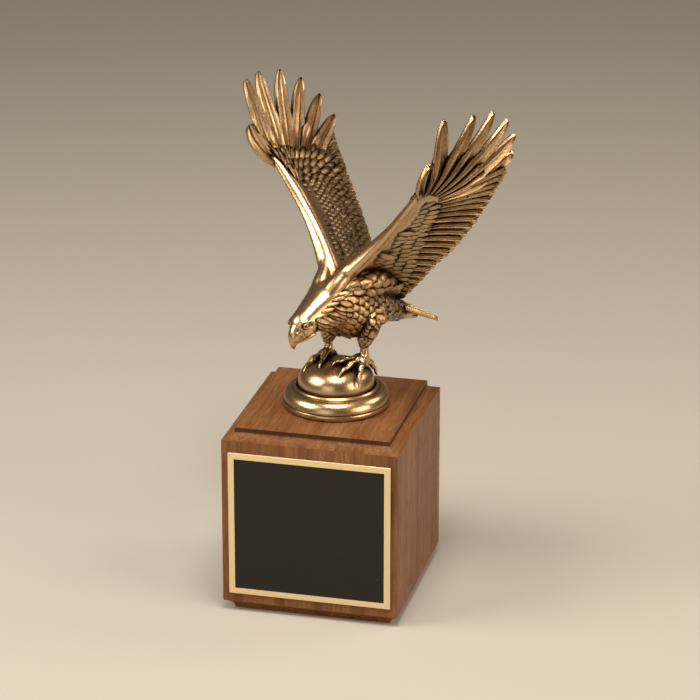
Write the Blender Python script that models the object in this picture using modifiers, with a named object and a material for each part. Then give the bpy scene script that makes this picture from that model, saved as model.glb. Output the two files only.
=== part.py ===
"""Eagle trophy: a cast eagle on its turned base, a walnut block and a thin name plate.

Metres, +Z up. The origin is the centre of the block's underside, and the block's front faces -Y.
"""
import math

import bmesh
import bpy
from mathutils import Matrix, Vector

# Walnut block
BLOCK_WIDTH = 0.1143
BLOCK_DEPTH = 0.1206
BLOCK_HEIGHT = 0.1245
TOP_INSET = 0.0070
TOP_FILLET = 0.0023
TOP_COVE = 0.0044
FOOT_INSET = 0.0061
FOOT_FILLET = 0.0016
FOOT_COVE = 0.0054
COVE_STEPS = 5

# Name plate
PLATE_SIDE_MARGIN = 0.0044
PLATE_TOP_MARGIN = 0.0076
PLATE_FOOT_MARGIN = 0.0061
PLATE_THICKNESS = 0.0010
PLATE_BEVEL = 0.0002

# Turned base, cast in one with the eagle
BASE_OFFSET = (0.0020, 0.0015)
BASE_RADIUS = 0.0344
BEAD_HEIGHT = 0.0045
GROOVE_DEPTH = 0.0010
BAND_HEIGHT = 0.0088
DOME_RADIUS = 0.0245
DOME_HEIGHT = 0.0160
DOME_POWER = 2.5
BASE_SIDES = 34

# Eagle. Its pose and proportions are in units of a 200th of its height above the dome's foot.
FIGURE_HEIGHT = 0.200
HEADING = 60.0
BANK = 3.4
STANCE = 29.8
FEET_SINK = 1.2
STRIDE = 12.8
FOOT_FORWARD = {1: -10.8, -1: -4.4}

GAP = 0.0003
UNIT = FIGURE_HEIGHT / 200.0

WING_ROOT = (0.8, 12.1, 27.7)
WING_RISE = 48.0
PRIMARIES = 6
SECONDARIES = 14
SECONDARY_FIRST = 88.0
SECONDARY_PITCH = 8.8
SECONDARY_WIDTH = 12.2
COVERT_REACH = 0.44
COVERT_WIDTH = 9.4
COVERT_LIFT = (0.7, 0.9)
FEATHER_THICK = 2.6
FAN_PIVOT = (60.0, 22.0)
FAN_START = -5.6
FAN_STEP = 14.3
FAN_CLOSING = 0.30
FINGER_ROOT = 18.0
FINGER_WIDTH = 14.6
THUMB = ((76.0, 19.0), (107.6, 8.2))
THUMB_WIDTH = 11.4
THUMB_THICK = 3.8
TAIL_FEATHERS = 7
TAIL_STEP = 9.5
TAIL_START = 46.0
TAIL_REACH = 31.0
TAIL_SLOPE = 0.54
TAIL_THICK = 1.7
TOES = ((-28.0, 20.0), (2.0, 22.0), (36.0, 18.0), (172.0, 13.0))
TOE_RADIUS = 2.2

BODY_STATIONS = 17
BODY_SIDES = 14

BRONZE = (0.52, 0.33, 0.14)
WALNUT = (0.24, 0.12, 0.06)
PLATE_BLACK = (0.03, 0.027, 0.022)


def clear_scene():
    for old in list(bpy.data.objects):
        bpy.data.objects.remove(old, do_unlink=True)


def new_collection(name):
    made = bpy.data.collections.new(name)
    bpy.context.scene.collection.children.link(made)
    return made


def material(name, colour, roughness, metallic):
    made = bpy.data.materials.new(name)
    made.use_nodes = True
    shader = made.node_tree.nodes["Principled BSDF"]
    shader.inputs["Base Color"].default_value = (*colour, 1.0)
    shader.inputs["Roughness"].default_value = roughness
    shader.inputs["Metallic"].default_value = metallic
    return made


def mesh_object(name, shape, collection, finish=None):
    """Turns a finished bmesh into an object, with its faces pointing out."""
    bmesh.ops.recalc_face_normals(shape, faces=shape.faces)
    data = bpy.data.meshes.new(name)
    shape.to_mesh(data)
    shape.free()
    if finish:
        data.materials.append(finish)
    made = bpy.data.objects.new(name, data)
    collection.objects.link(made)
    return made


def loft(rings):
    """Joins rings of points, each with the same count, into one closed skin with flat ends."""
    shape = bmesh.new()
    made = [[shape.verts.new(point) for point in ring] for ring in rings]
    count = len(made[0])
    for first, second in zip(made, made[1:]):
        for i in range(count):
            j = (i + 1) % count
            shape.faces.new((first[i], first[j], second[j], second[i]))
    shape.faces.new(list(reversed(made[0])))
    shape.faces.new(made[-1])
    return shape


def smoothstep(x, low=0.0, high=1.0):
    t = min(1.0, max(0.0, (x - low) / (high - low)))
    return t * t * (3.0 - 2.0 * t)


def along(points, t):
    """A point at share t of a list of (share, values) rows, with smooth slopes through the rows."""
    for i in range(len(points) - 1):
        if t <= points[i + 1][0] or i == len(points) - 2:
            break
    rows = [points[max(0, i - 1)], points[i], points[i + 1], points[min(len(points) - 1, i + 2)]]
    span = rows[2][0] - rows[1][0]
    s = (t - rows[1][0]) / span
    result = []
    for before, start, end, after in zip(*(row[1] for row in rows)):
        slope_in = (end - before) / max(1e-9, rows[2][0] - rows[0][0]) * span
        slope_out = (after - start) / max(1e-9, rows[3][0] - rows[1][0]) * span
        result.append(
            (2 * s**3 - 3 * s**2 + 1) * start
            + (s**3 - 2 * s**2 + s) * slope_in
            + (-2 * s**3 + 3 * s**2) * end
            + (s**3 - s**2) * slope_out
        )
    return result


# The figure's own frame: forward (beak), left and up, turned to its heading and bank


def figure_matrix():
    dome_top = BLOCK_HEIGHT + GAP + BEAD_HEIGHT + BAND_HEIGHT + DOME_HEIGHT
    middle = Vector((*BASE_OFFSET, dome_top + (STANCE - FEET_SINK) * UNIT))
    heading = math.radians(HEADING)
    bank = math.radians(BANK)
    forward = Vector((-math.cos(heading), -math.sin(heading), 0.0))
    level = Vector((math.sin(heading), -math.cos(heading), 0.0))
    left = level * math.cos(bank) + Vector((0.0, 0.0, math.sin(bank)))
    up = Vector((0.0, 0.0, math.cos(bank))) - level * math.sin(bank)
    turn = Matrix((forward, left, up)).transposed().to_4x4()
    return Matrix.Translation(middle) @ turn @ Matrix.Scale(UNIT, 4)


def dome_height(forward, left):
    """Height of the dome's skin, in figure units, under a point of the figure."""
    reach = min(0.99, math.hypot(forward, left) * UNIT / DOME_RADIUS)
    fall = 1.0 - (1.0 - reach**DOME_POWER) ** (1.0 / DOME_POWER)
    return -(STANCE - FEET_SINK) - fall * DOME_HEIGHT / UNIT


# Block and plate


def rectangle(inset, height):
    x = BLOCK_WIDTH / 2 - inset
    y = BLOCK_DEPTH / 2 - inset
    return [(-x, -y, height), (x, -y, height), (x, y, height), (-x, y, height)]


def walnut_block(collection, finish):
    rings = [rectangle(FOOT_INSET, 0.0), rectangle(FOOT_INSET, FOOT_FILLET)]
    for i in range(1, COVE_STEPS + 1):
        turn = math.pi / 2 * i / COVE_STEPS
        rings.append(
            rectangle(
                FOOT_INSET * math.cos(turn) if i < COVE_STEPS else 0.0,
                FOOT_FILLET + FOOT_COVE * (1.0 - math.cos(turn)) ** 0.5 * math.sin(turn) ** 0.5,
            )
        )
    for i in range(COVE_STEPS):
        turn = math.pi / 2 * i / COVE_STEPS
        rings.append(
            rectangle(
                TOP_INSET * math.sin(turn),
                BLOCK_HEIGHT - TOP_FILLET - TOP_COVE * math.cos(turn),
            )
        )
    rings.append(rectangle(TOP_INSET, BLOCK_HEIGHT - TOP_FILLET))
    rings.append(rectangle(TOP_INSET, BLOCK_HEIGHT))
    return mesh_object("walnut_block", loft(rings), collection, finish)


def name_plate(collection, finish):
    low = FOOT_FILLET + FOOT_COVE + PLATE_FOOT_MARGIN
    high = BLOCK_HEIGHT - TOP_FILLET - TOP_COVE - PLATE_TOP_MARGIN
    width = BLOCK_WIDTH - 2 * PLATE_SIDE_MARGIN
    shape = bmesh.new()
    bmesh.ops.create_cube(shape, size=1.0)
    bmesh.ops.scale(shape, vec=(width, PLATE_THICKNESS, high - low), verts=shape.verts)
    middle = (0.0, -BLOCK_DEPTH / 2 - GAP - PLATE_THICKNESS / 2, (low + high) / 2)
    bmesh.ops.translate(shape, vec=middle, verts=shape.verts)
    made = mesh_object("name_plate", shape, collection, finish)
    edge = made.modifiers.new("edge", "BEVEL")
    edge.width = PLATE_BEVEL
    edge.segments = 1
    return made


# Turned base


def base_profile():
    """(radius, height) from the foot of the bead, up the band and over the dome to the axis."""
    radius = BASE_RADIUS
    points = [(0.0, 0.0), (radius - 0.0012, 0.0)]
    for i in range(5):
        turn = math.pi * (i / 4 - 0.5)
        points.append(
            (
                radius - GROOVE_DEPTH + GROOVE_DEPTH * math.cos(turn),
                BEAD_HEIGHT * (0.5 + 0.42 * math.sin(turn)),
            )
        )
    band_top = DOME_RADIUS + 0.0028
    for i in range(7):
        turn = math.pi / 2 * i / 6
        points.append(
            (
                band_top + (radius - 0.0003 - band_top) * math.cos(turn),
                BEAD_HEIGHT + (BAND_HEIGHT - 0.0012) * math.sin(turn),
            )
        )
    points.append((DOME_RADIUS + 0.0014, BEAD_HEIGHT + BAND_HEIGHT - 0.0002))
    points.append((DOME_RADIUS + 0.0004, BEAD_HEIGHT + BAND_HEIGHT - 0.0002))
    for i in range(9):
        turn = math.pi / 2 * i / 8
        wide = DOME_RADIUS * max(0.0, math.cos(turn)) ** (2.0 / DOME_POWER)
        rise = DOME_HEIGHT * math.sin(turn) ** (2.0 / DOME_POWER)
        points.append((wide, BEAD_HEIGHT + BAND_HEIGHT + rise))
    points[-1] = (0.0, points[-1][1])
    return points


def turned_base(collection, finish):
    data = bpy.data.meshes.new("turned_base")
    profile = [(x, 0.0, z) for x, z in reversed(base_profile())]
    data.from_pydata(profile, [(i, i + 1) for i in range(len(profile) - 1)], [])
    data.materials.append(finish)
    made = bpy.data.objects.new("turned_base", data)
    made.location = (*BASE_OFFSET, BLOCK_HEIGHT + GAP)
    collection.objects.link(made)
    turn = made.modifiers.new("turn", "SCREW")
    turn.steps = BASE_SIDES
    turn.render_steps = BASE_SIDES
    turn.use_merge_vertices = True
    turn.merge_threshold = 0.00001
    return made


# Wings. A place on a wing is (span, chord, lift): out from the shoulder, back from its front edge
# and off the skin towards the back.


def wing_sheet(span, chord):
    """How far the wing's skin leaves its flat plane: hollow under the arm, curled up at the tips."""
    hollow = 23.0 * (chord / 75.0) ** 2 * (1.0 - span / 130.0)
    curl = 13.0 * max(0.0, (span - 80.0) / 55.0) ** 1.5
    return 3.0 - hollow + curl


def wing_point(span, chord, lift, side):
    rise = math.radians(WING_RISE)
    lift = lift + wing_sheet(span, chord)
    forward = WING_ROOT[0] - chord
    left = WING_ROOT[1] + span * math.cos(rise) - lift * math.sin(rise)
    up = WING_ROOT[2] + span * math.sin(rise) + lift * math.cos(rise)
    return Vector((forward, side * left, up))


FRONT_ROWS = [
    # (span, (chord,)) of the leading edge
    (-14.0, (-6.0,)), (0.0, (-2.0,)), (22.0, (6.5,)), (43.0, (11.5,)), (68.0, (13.0,)), (80.0, (13.4,)),
    (92.0, (12.2,)), (106.0, (12.0,)),
]
TRAILING_ROWS = [
    # (span, (chord,)) of the rear edge
    (-28.0, (57.2,)), (-14.0, (61.0,)), (8.0, (66.0,)), (24.0, (71.8,)), (48.0, (77.0,)), (66.0, (79.4,)),
    (90.0, (82.4,)),
]


def front_edge(span):
    return along(FRONT_ROWS, span)[0]


def feather(
    start, end, width, side, lift, thick, stations, root=(0.6, 0.4), bend=0.0, notch=None, tip=0.3,
    plain=False,
):
    """
    One blade from start to end, both (span, chord), with a raised shaft and a rounded tip. Root is the
    share of its width that it starts with and where it is full; notch is where a finger comes free.
    """
    rings = []
    run = Vector((end[0] - start[0], end[1] - start[1]))
    across = Vector((-run.y, run.x)).normalized()
    for i in range(stations):
        t = i / (stations - 1)
        reach = 1.0 - (1.0 - t) ** 1.5
        centre = Vector(start) + run * reach + across * bend * math.sin(math.pi * reach)
        half = width / 2 * (root[0] + (1.0 - root[0]) * min(1.0, reach / root[1]))
        if notch:
            half *= 1.0 - 0.22 * smoothstep(reach, notch, notch + 0.15)
        if reach > 1.0 - tip:
            half *= math.sqrt(max(0.06, 1.0 - ((reach - 1.0 + tip) / tip) ** 2.4))
        height = lift[0] + (lift[1] - lift[0]) * smoothstep(reach, 0.3, 1.0)
        edge = thick * (0.62 - 0.25 * reach)
        shaft = thick * (1.25 - 0.55 * reach)
        ring = []
        for offset, level in ((-1, edge), (0, shaft), (1, edge), (1, -edge), (0, -shaft), (-1, -edge)):
            if plain and level == -shaft:
                continue
            spot = centre + across * half * offset
            ring.append(wing_point(spot.x, spot.y, height + level * 0.5, side))
        rings.append(ring)
    return loft(rings)


def primary_ends(i):
    """Where primary feather i starts and ends: a fan about the wrist, longest in its middle."""
    angle = math.radians(FAN_START + FAN_STEP * i - FAN_CLOSING * i * i)
    length = 82.0 - 1.15 * abs(i - 2.6) ** 2.1
    aim = Vector((math.cos(angle), math.sin(angle)))
    return Vector(FAN_PIVOT) + aim * FINGER_ROOT, Vector(FAN_PIVOT) + aim * length


def wing_feathers(side):
    """The feathers of one wing: primaries, secondaries, then the coverts that overlap both."""
    made = []
    for i in range(PRIMARIES):
        start, end = primary_ends(i)
        lift = (-0.4, 4.6 - 7.6 * smoothstep(i, 0.0, 1.1) + 6.0 * smoothstep(i, 3.2, 5.5))
        made.append(
            feather(start, end, FINGER_WIDTH, side, lift, FEATHER_THICK, 9, (0.34, 0.5), 1.0, 0.46, 0.4)
        )
        end = start + (end - start) * COVERT_REACH
        made.append(feather(start, end, COVERT_WIDTH, side, COVERT_LIFT, FEATHER_THICK, 4, plain=True))
    for i in range(SECONDARIES):
        span = SECONDARY_FIRST - SECONDARY_PITCH * i
        swing = 17.0 * (1.0 - smoothstep(i, -1.5, 4.7))
        start = (span - swing, 32.0 + 9.0 * smoothstep(-i, -3.0, 0.0))
        end = (span, along(TRAILING_ROWS, span)[0])
        made.append(
            feather(start, end, SECONDARY_WIDTH, side, (-0.1, 0.0), FEATHER_THICK, 4, tip=0.12, plain=True)
        )
        if i > 1:
            end = (span, 54.0 - 0.8 * i)
            made.append(
                feather((span, 20.0), end, SECONDARY_WIDTH, side, COVERT_LIFT, FEATHER_THICK, 4, plain=True)
            )
    return made


def wing_core(side):
    """The arm and the skin behind it, thick and round in front and thin at the back."""
    rings = []
    for span in (-14.0, -4.0, 10.0, 26.0, 44.0, 62.0, 76.0, 85.0, 94.0):
        front = front_edge(span)
        back = 50.0 - 20.0 * smoothstep(span, 56.0, 94.0)
        thick = 17.5 - 7.5 * smoothstep(span, -4.0, 50.0) - 3.0 * smoothstep(span, 50.0, 86.0)
        thick *= 1.0 - 0.80 * smoothstep(span, 74.0, 94.0)
        ring = []
        for reach, level in (
            (0.0, 0.0), (0.06, 0.34), (0.16, 0.48), (0.40, 0.25), (1.0, 0.07),
            (1.0, -0.06), (0.40, -0.11), (0.15, -0.21), (0.05, -0.18),
        ):
            ring.append(wing_point(span, front + (back - front) * reach, thick * level, side))
        rings.append(ring)
    return loft(rings)


def alula(side):
    """The short thumb feather at the bend of the wing."""
    return feather(*THUMB, THUMB_WIDTH, side, (0.0, -0.6), THUMB_THICK, 7, bend=-2.0, tip=0.4)


# Body, head, tail and legs


BODY_ROWS = [
    # (forward, (height, half width, half depth)) from the tail's root to the brow
    (-66.0, (-12.5, 8.0, 2.8)),
    (-54.0, (-7.5, 9.5, 6.5)),
    (-40.0, (-2.5, 13.0, 10.5)),
    (-26.0, (2.0, 16.5, 16.5)),
    (-12.0, (6.5, 18.0, 21.0)),
    (0.0, (9.8, 17.0, 19.0)),
    (9.0, (10.9, 14.2, 15.6)),
    (18.0, (8.8, 11.4, 12.0)),
    (26.0, (5.6, 9.4, 9.8)),
    (32.0, (3.4, 8.0, 8.4)),
    (35.6, (2.0, 6.4, 6.6)),
    (37.8, (1.2, 3.4, 3.8)),
]


def body():
    rings = []
    first = BODY_ROWS[0][0]
    last = BODY_ROWS[-1][0]
    for i in range(BODY_STATIONS):
        forward = first + (last - first) * (i / (BODY_STATIONS - 1)) ** 0.92
        height, wide, deep = along(BODY_ROWS, forward)
        before = along(BODY_ROWS, max(first, forward - 1.0))[0]
        after = along(BODY_ROWS, min(last, forward + 1.0))[0]
        lean = -math.atan2(after - before, 2.0) * 0.6
        ring = []
        for k in range(BODY_SIDES):
            turn = 2 * math.pi * k / BODY_SIDES
            rise = deep * math.sin(turn)
            ring.append(
                (forward + rise * math.sin(lean), wide * math.cos(turn), height + rise * math.cos(lean))
            )
        rings.append(ring)
    return loft(rings)


def swept(path, sides=7, squash=1.0, across=(0.0, 1.0, 0.0)):
    """A round-sectioned limb along (point, radius) rows; across keeps its sections from twisting."""
    rings = []
    points = [Vector(row[0]) for row in path]
    for i, point in enumerate(points):
        ahead = points[min(i + 1, len(points) - 1)]
        behind = points[max(i - 1, 0)]
        run = (ahead - behind).normalized()
        side = Vector(across)
        side = (side - run * side.dot(run)).normalized()
        rise = side.cross(run)
        ring = []
        for k in range(sides):
            turn = 2 * math.pi * k / sides
            ring.append(
                point + (side * math.cos(turn) + rise * math.sin(turn) * squash) * path[i][1]
            )
        rings.append(ring)
    return loft(rings)


def beak():
    path = [
        ((29.5, 0.0, 2.0), 6.6),
        ((34.2, 0.0, 2.0), 5.2),
        ((36.6, 0.0, -0.4), 4.6),
        ((38.1, 0.0, -3.2), 3.9),
        ((38.9, 0.0, -6.0), 2.8),
        ((38.9, 0.0, -8.4), 1.7),
        ((38.2, 0.0, -10.8), 0.45),
    ]
    return swept(path, sides=8)


def lower_bill():
    path = [
        ((26.5, 0.0, 0.4), 5.2),
        ((31.5, 0.0, -2.8), 4.0),
        ((34.8, 0.0, -5.0), 2.6),
        ((36.8, 0.0, -6.6), 1.0),
    ]
    return swept(path, sides=7, squash=0.8)


def under_tail():
    path = [((-40.0, 0.0, -7.0), 8.0), ((-58.0, 0.0, -13.5), 5.5), ((-74.0, 0.0, -19.5), 2.4)]
    return swept(path, sides=8, squash=0.7)


def shoulder(side):
    """The flesh that joins the underside of a wing to the flank."""
    path = [
        ((1.0, 8.0 * side, 17.5), 6.0),
        ((-10.0, 10.5 * side, 18.5), 8.0),
        ((-22.0, 10.5 * side, 17.0), 8.6),
        ((-36.0, 8.0 * side, 12.5), 7.2),
        ((-50.0, 5.0 * side, 5.5), 4.5),
    ]
    return swept(path, sides=8)


def tail_feather(i):
    """One tail feather of the fan, slung back and down from the rump."""
    middle = (TAIL_FEATHERS - 1) / 2
    angle = math.radians(TAIL_STEP * (i - middle))
    rings = []
    for k in range(5):
        t = k / 4
        reach = TAIL_REACH * t
        half = (2.6 + 2.1 * smoothstep(t, 0.0, 0.6)) * (1.0 if t < 0.9 else 0.62)
        lift = 0.9 * (middle - abs(i - middle))
        ring = []
        for offset, level in ((-1, 0.5), (0, 1.0), (1, 0.5), (1, -0.5), (0, -0.8), (-1, -0.5)):
            back = TAIL_START + math.cos(angle) * reach - math.sin(angle) * offset * half
            left = math.sin(angle) * (reach + 8.0) + math.cos(angle) * offset * half
            rise = -1.4 - TAIL_SLOPE * (back - TAIL_START) + lift + level * TAIL_THICK
            ring.append((-back, left, rise))
        rings.append(ring)
    return loft(rings)


def leg(side):
    """Feathered thigh and bare shank."""
    foot = FOOT_FORWARD[side]
    return swept(
        [
            ((foot - 6.0, 9.0 * side, 4.0), 9.5),
            ((foot - 5.0, 11.4 * side, -3.0), 9.0),
            ((foot - 3.4, 12.2 * side, -9.0), 7.4),
            ((foot - 1.4, STRIDE * side, -14.0), 5.0),
            ((foot - 0.6, STRIDE * side, -17.0), 3.3),
            ((foot - 0.6, STRIDE * side, -21.0), 2.7),
            ((foot - 0.2, STRIDE * side, -25.0), 3.1),
            ((foot, STRIDE * side, -33.0), 2.8),
        ],
        sides=9,
    )


def toe(side, angle, length, thick):
    """A toe that arches off the foot and follows the dome, ending in a curved claw."""
    aim = math.radians(angle)
    rows = []
    for reach, raise_by, share in (
        (0.0, 4.2, 1.0), (0.22, 4.4, 0.98), (0.42, 2.7, 0.8), (0.58, 2.7, 0.95),
        (0.80, 1.2, 0.66), (1.08, -0.5, 0.14),
    ):
        forward = FOOT_FORWARD[side] + math.cos(aim) * length * reach
        left = side * (STRIDE + math.sin(aim) * length * reach)
        rows.append(((forward, left, dome_height(forward, left) + raise_by), thick * share))
    return swept(rows, sides=6, across=(-math.sin(aim), side * math.cos(aim), 0.0))


def figure_parts():
    """Every cast form of the figure above the turned base."""
    parts = [("body", body()), ("beak", beak()), ("lower_bill", lower_bill()), ("under_tail", under_tail())]
    parts += [(f"tail_{i}", tail_feather(i)) for i in range(TAIL_FEATHERS)]
    for side, word in ((1, "left"), (-1, "right")):
        parts.append((f"{word}_leg", leg(side)))
        parts.append((f"{word}_shoulder", shoulder(side)))
        for angle, length in TOES:
            parts.append((f"{word}_toe", toe(side, angle, length, TOE_RADIUS)))
        parts.append((f"{word}_wing_core", wing_core(side)))
        parts.append((f"{word}_alula", alula(side)))
        parts += [(f"{word}_feather", shape) for shape in wing_feathers(side)]
    return parts


def without_pockets(shape):
    """Keeps the outer skin alone: the forms overlap, and leave small sealed pockets between them."""
    left = set(shape.verts)
    shells = []
    while left:
        start = left.pop()
        shell = [start]
        front = [start]
        while front:
            for edge in front.pop().link_edges:
                for other in edge.verts:
                    if other in left:
                        left.remove(other)
                        shell.append(other)
                        front.append(other)
        shells.append(shell)
    outer = max(shells, key=len)
    inner = [vert for shell in shells if shell is not outer for vert in shell]
    bmesh.ops.delete(shape, geom=inner, context="VERTS")


def eagle_casting(collection, helpers, finish):
    """The turned base and every form of the figure, made one skin."""
    base = turned_base(helpers, finish)
    place = figure_matrix()
    forms = new_collection("figure_forms")
    forms.hide_render = True
    for name, shape in figure_parts():
        shape.transform(place)
        form = mesh_object(name, shape, forms)
        form.hide_render = True
        form.display_type = "WIRE"
    base.hide_render = True
    base.display_type = "WIRE"
    join = base.modifiers.new("cast_in_one", "BOOLEAN")
    join.operation = "UNION"
    join.operand_type = "COLLECTION"
    join.collection = forms
    join.solver = "EXACT"
    bpy.context.view_layer.update()
    graph = bpy.context.evaluated_depsgraph_get()
    joined = base.evaluated_get(graph).to_mesh()
    shape = bmesh.new()
    shape.from_mesh(joined)
    shape.transform(base.matrix_world)
    base.evaluated_get(graph).to_mesh_clear()
    without_pockets(shape)
    data = bpy.data.meshes.new("eagle_casting")
    shape.to_mesh(data)
    shape.free()
    data.materials.append(finish)
    data.shade_smooth()
    data.set_sharp_from_angle(angle=math.radians(35.0))
    made = bpy.data.objects.new("eagle_casting", data)
    collection.objects.link(made)
    return made


def main():
    clear_scene()
    trophy = new_collection("eagle_trophy")
    helpers = new_collection("cast_forms")
    helpers.hide_render = True
    walnut_block(trophy, material("walnut", WALNUT, 0.4, 0.0))
    name_plate(trophy, material("black_plate", PLATE_BLACK, 0.3, 0.5))
    eagle_casting(trophy, helpers, material("antique_bronze", BRONZE, 0.32, 1.0))


main()
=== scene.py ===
# %% [markdown]
# # Eagle trophy
# A cast bronze eagle grips a domed base, and the casting stands on a walnut block with a name plate.
# The frame holds the solids at their real size. This lesson dresses them: it sculpts the casting again
# with fine feathers, and gives the wood and the plate their finish. Everything is in metres.

import math

import bmesh
import bpy
import numpy as np
from mathutils import Matrix, Vector
from mathutils.bvhtree import BVHTree


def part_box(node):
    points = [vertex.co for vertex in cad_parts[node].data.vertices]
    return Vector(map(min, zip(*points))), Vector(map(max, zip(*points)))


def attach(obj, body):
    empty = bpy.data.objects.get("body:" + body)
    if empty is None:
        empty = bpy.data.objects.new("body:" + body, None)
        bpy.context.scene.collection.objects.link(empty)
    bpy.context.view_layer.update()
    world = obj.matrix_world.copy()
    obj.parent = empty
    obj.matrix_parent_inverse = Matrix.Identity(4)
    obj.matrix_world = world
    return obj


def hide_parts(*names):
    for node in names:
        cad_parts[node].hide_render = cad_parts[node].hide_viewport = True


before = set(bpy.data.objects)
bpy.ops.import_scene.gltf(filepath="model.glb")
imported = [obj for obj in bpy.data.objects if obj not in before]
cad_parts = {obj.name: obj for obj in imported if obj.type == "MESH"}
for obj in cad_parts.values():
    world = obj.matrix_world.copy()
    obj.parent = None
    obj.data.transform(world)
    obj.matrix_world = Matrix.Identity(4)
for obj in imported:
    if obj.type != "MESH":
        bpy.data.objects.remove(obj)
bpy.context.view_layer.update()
block_top = Vector(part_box("walnut_block")[1]).z
plate_low, plate_high = (Vector(corner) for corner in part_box("name_plate"))
base_foot = Vector(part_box("eagle_casting")[0]).z
print("block top at", round(block_top, 4), "casting from", round(base_foot, 4))

# %% [markdown]
# ## Camera
# A catalogue picture like this is taken from far away with a long lens, so upright edges stay nearly
# parallel. The camera therefore stands over two metres off, and its focal length is given as a number
# of pixels across a 700 pixel frame, turned into millimetres on Blender's 36 mm sensor.

# %% Camera
AZIMUTH = math.radians(14.0)
ELEVATION = math.radians(21.3)
CAMERA_DISTANCE = 2.164
FOCAL_PIXELS = 3400.0
FRAME_PIXELS = 700.0
SENSOR_MM = 36.0
AIM_RIGHT = 0.0111
AIM_HEIGHT = 0.1612


def place_camera():
    """Stands the camera on a sphere round the point it looks at."""
    back = Vector(
        (
            math.sin(AZIMUTH) * math.cos(ELEVATION),
            -math.cos(AZIMUTH) * math.cos(ELEVATION),
            math.sin(ELEVATION),
        )
    )
    target = Vector((AIM_RIGHT * math.cos(AZIMUTH), AIM_RIGHT * math.sin(AZIMUTH), AIM_HEIGHT))
    lens = bpy.data.cameras.new("camera")
    lens.sensor_width = SENSOR_MM
    lens.lens = FOCAL_PIXELS / FRAME_PIXELS * SENSOR_MM
    camera = bpy.data.objects.new("camera", lens)
    camera.location = target + back * CAMERA_DISTANCE
    camera.rotation_euler = (-back).to_track_quat("-Z", "Y").to_euler()
    bpy.context.scene.collection.objects.link(camera)
    bpy.context.scene.camera = camera
    return camera


camera = place_camera()
print("lens", round(camera.data.lens, 1), "mm")

# %% [markdown]
# ## Figure frame
# The bird is not square to the block. Its parts are described in its own frame, forward, left and up,
# in units of a 200th of its height, and one matrix turns that frame to the heading and bank it has on
# the dome. The same proportions shape the solids, so the fine skin lies on them.

# %% Figure frame
BASE_OFFSET = (0.0020, 0.0015)
BEAD_HEIGHT = 0.0045
BAND_HEIGHT = 0.0088
DOME_RADIUS = 0.0245
DOME_HEIGHT = 0.0160
DOME_POWER = 2.5
BASE_RADIUS = 0.0344
GROOVE_DEPTH = 0.0010
FIGURE_UNIT = 0.001
HEADING = math.radians(60.0)
BANK = math.radians(3.4)
STANCE = 28.6

dome_top = base_foot + BEAD_HEIGHT + BAND_HEIGHT + DOME_HEIGHT


def figure_matrix():
    """From the bird's own frame to the world."""
    forward = Vector((-math.cos(HEADING), -math.sin(HEADING), 0.0))
    level = Vector((math.sin(HEADING), -math.cos(HEADING), 0.0))
    left = level * math.cos(BANK) + Vector((0.0, 0.0, math.sin(BANK)))
    up = Vector((0.0, 0.0, math.cos(BANK))) - level * math.sin(BANK)
    turn = Matrix((forward, left, up)).transposed().to_4x4()
    middle = Vector((*BASE_OFFSET, dome_top + STANCE * FIGURE_UNIT))
    return Matrix.Translation(middle) @ turn @ Matrix.Scale(FIGURE_UNIT, 4)


FIGURE = figure_matrix()
SIDES = ((1, "left"), (-1, "right"))
print("figure middle", [round(value, 4) for value in FIGURE.translation])

# %% [markdown]
# ## Small helpers
# A loft joins rings of points into a closed skin. Each feather also stores, on every point, where it
# is on the vane: across it, along it, and how wide the vane is. The finish reads that later to draw
# barbs that follow each feather.

# %% Lofts and smooth rows
VANE = "vane"


def smoothstep(x, low=0.0, high=1.0):
    """Rises from 0 at low to 1 at high, level at both ends."""
    t = min(1.0, max(0.0, (x - low) / (high - low)))
    return t * t * (3.0 - 2.0 * t)


def along(rows, at):
    """Values at a place in a list of (place, values) rows, with smooth slopes through the rows."""
    for i in range(len(rows) - 1):
        if at <= rows[i + 1][0] or i == len(rows) - 2:
            break
    near = [rows[max(0, i - 1)], rows[i], rows[i + 1], rows[min(len(rows) - 1, i + 2)]]
    span = near[2][0] - near[1][0]
    s = (at - near[1][0]) / span
    found = []
    for before, start, end, after in zip(*(row[1] for row in near)):
        slope_in = (end - before) / max(1e-9, near[2][0] - near[0][0]) * span
        slope_out = (after - start) / max(1e-9, near[3][0] - near[1][0]) * span
        found.append(
            (2 * s**3 - 3 * s**2 + 1) * start
            + (s**3 - 2 * s**2 + s) * slope_in
            + (-2 * s**3 + 3 * s**2) * end
            + (s**3 - s**2) * slope_out
        )
    return found


def put(name, data):
    """An object that holds the data, linked into the scene."""
    made = bpy.data.objects.new(name, data)
    bpy.context.scene.collection.objects.link(made)
    return made


def loft(name, rings, vane=None):
    """One closed mesh object from rings of world points; vane holds a triple for each point."""
    count = len(rings[0])
    points = [tuple(point) for ring in rings for point in ring]
    faces = []
    for r in range(len(rings) - 1):
        for k in range(count):
            j = (k + 1) % count
            faces.append((r * count + k, r * count + j, (r + 1) * count + j, (r + 1) * count + k))
    faces.append(tuple(range(count - 1, -1, -1)))
    faces.append(tuple(range((len(rings) - 1) * count, len(rings) * count)))
    data = bpy.data.meshes.new(name)
    data.from_pydata(points, [], faces)
    shape = bmesh.new()
    shape.from_mesh(data)
    bmesh.ops.recalc_face_normals(shape, faces=shape.faces)
    shape.to_mesh(data)
    shape.free()
    stored = data.attributes.new(VANE, "FLOAT_VECTOR", "POINT")
    if vane:
        stored.data.foreach_set("vector", np.array(vane, np.float32).ravel())
    return put(name, data)


def bake(made):
    """Turns an object with modifiers into a plain mesh object of the same name."""
    bpy.context.view_layer.update()
    graph = bpy.context.evaluated_depsgraph_get()
    data = bpy.data.meshes.new_from_object(made.evaluated_get(graph), depsgraph=graph)
    name = made.name
    bpy.data.objects.remove(made, do_unlink=True)
    return put(name, data)


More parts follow.
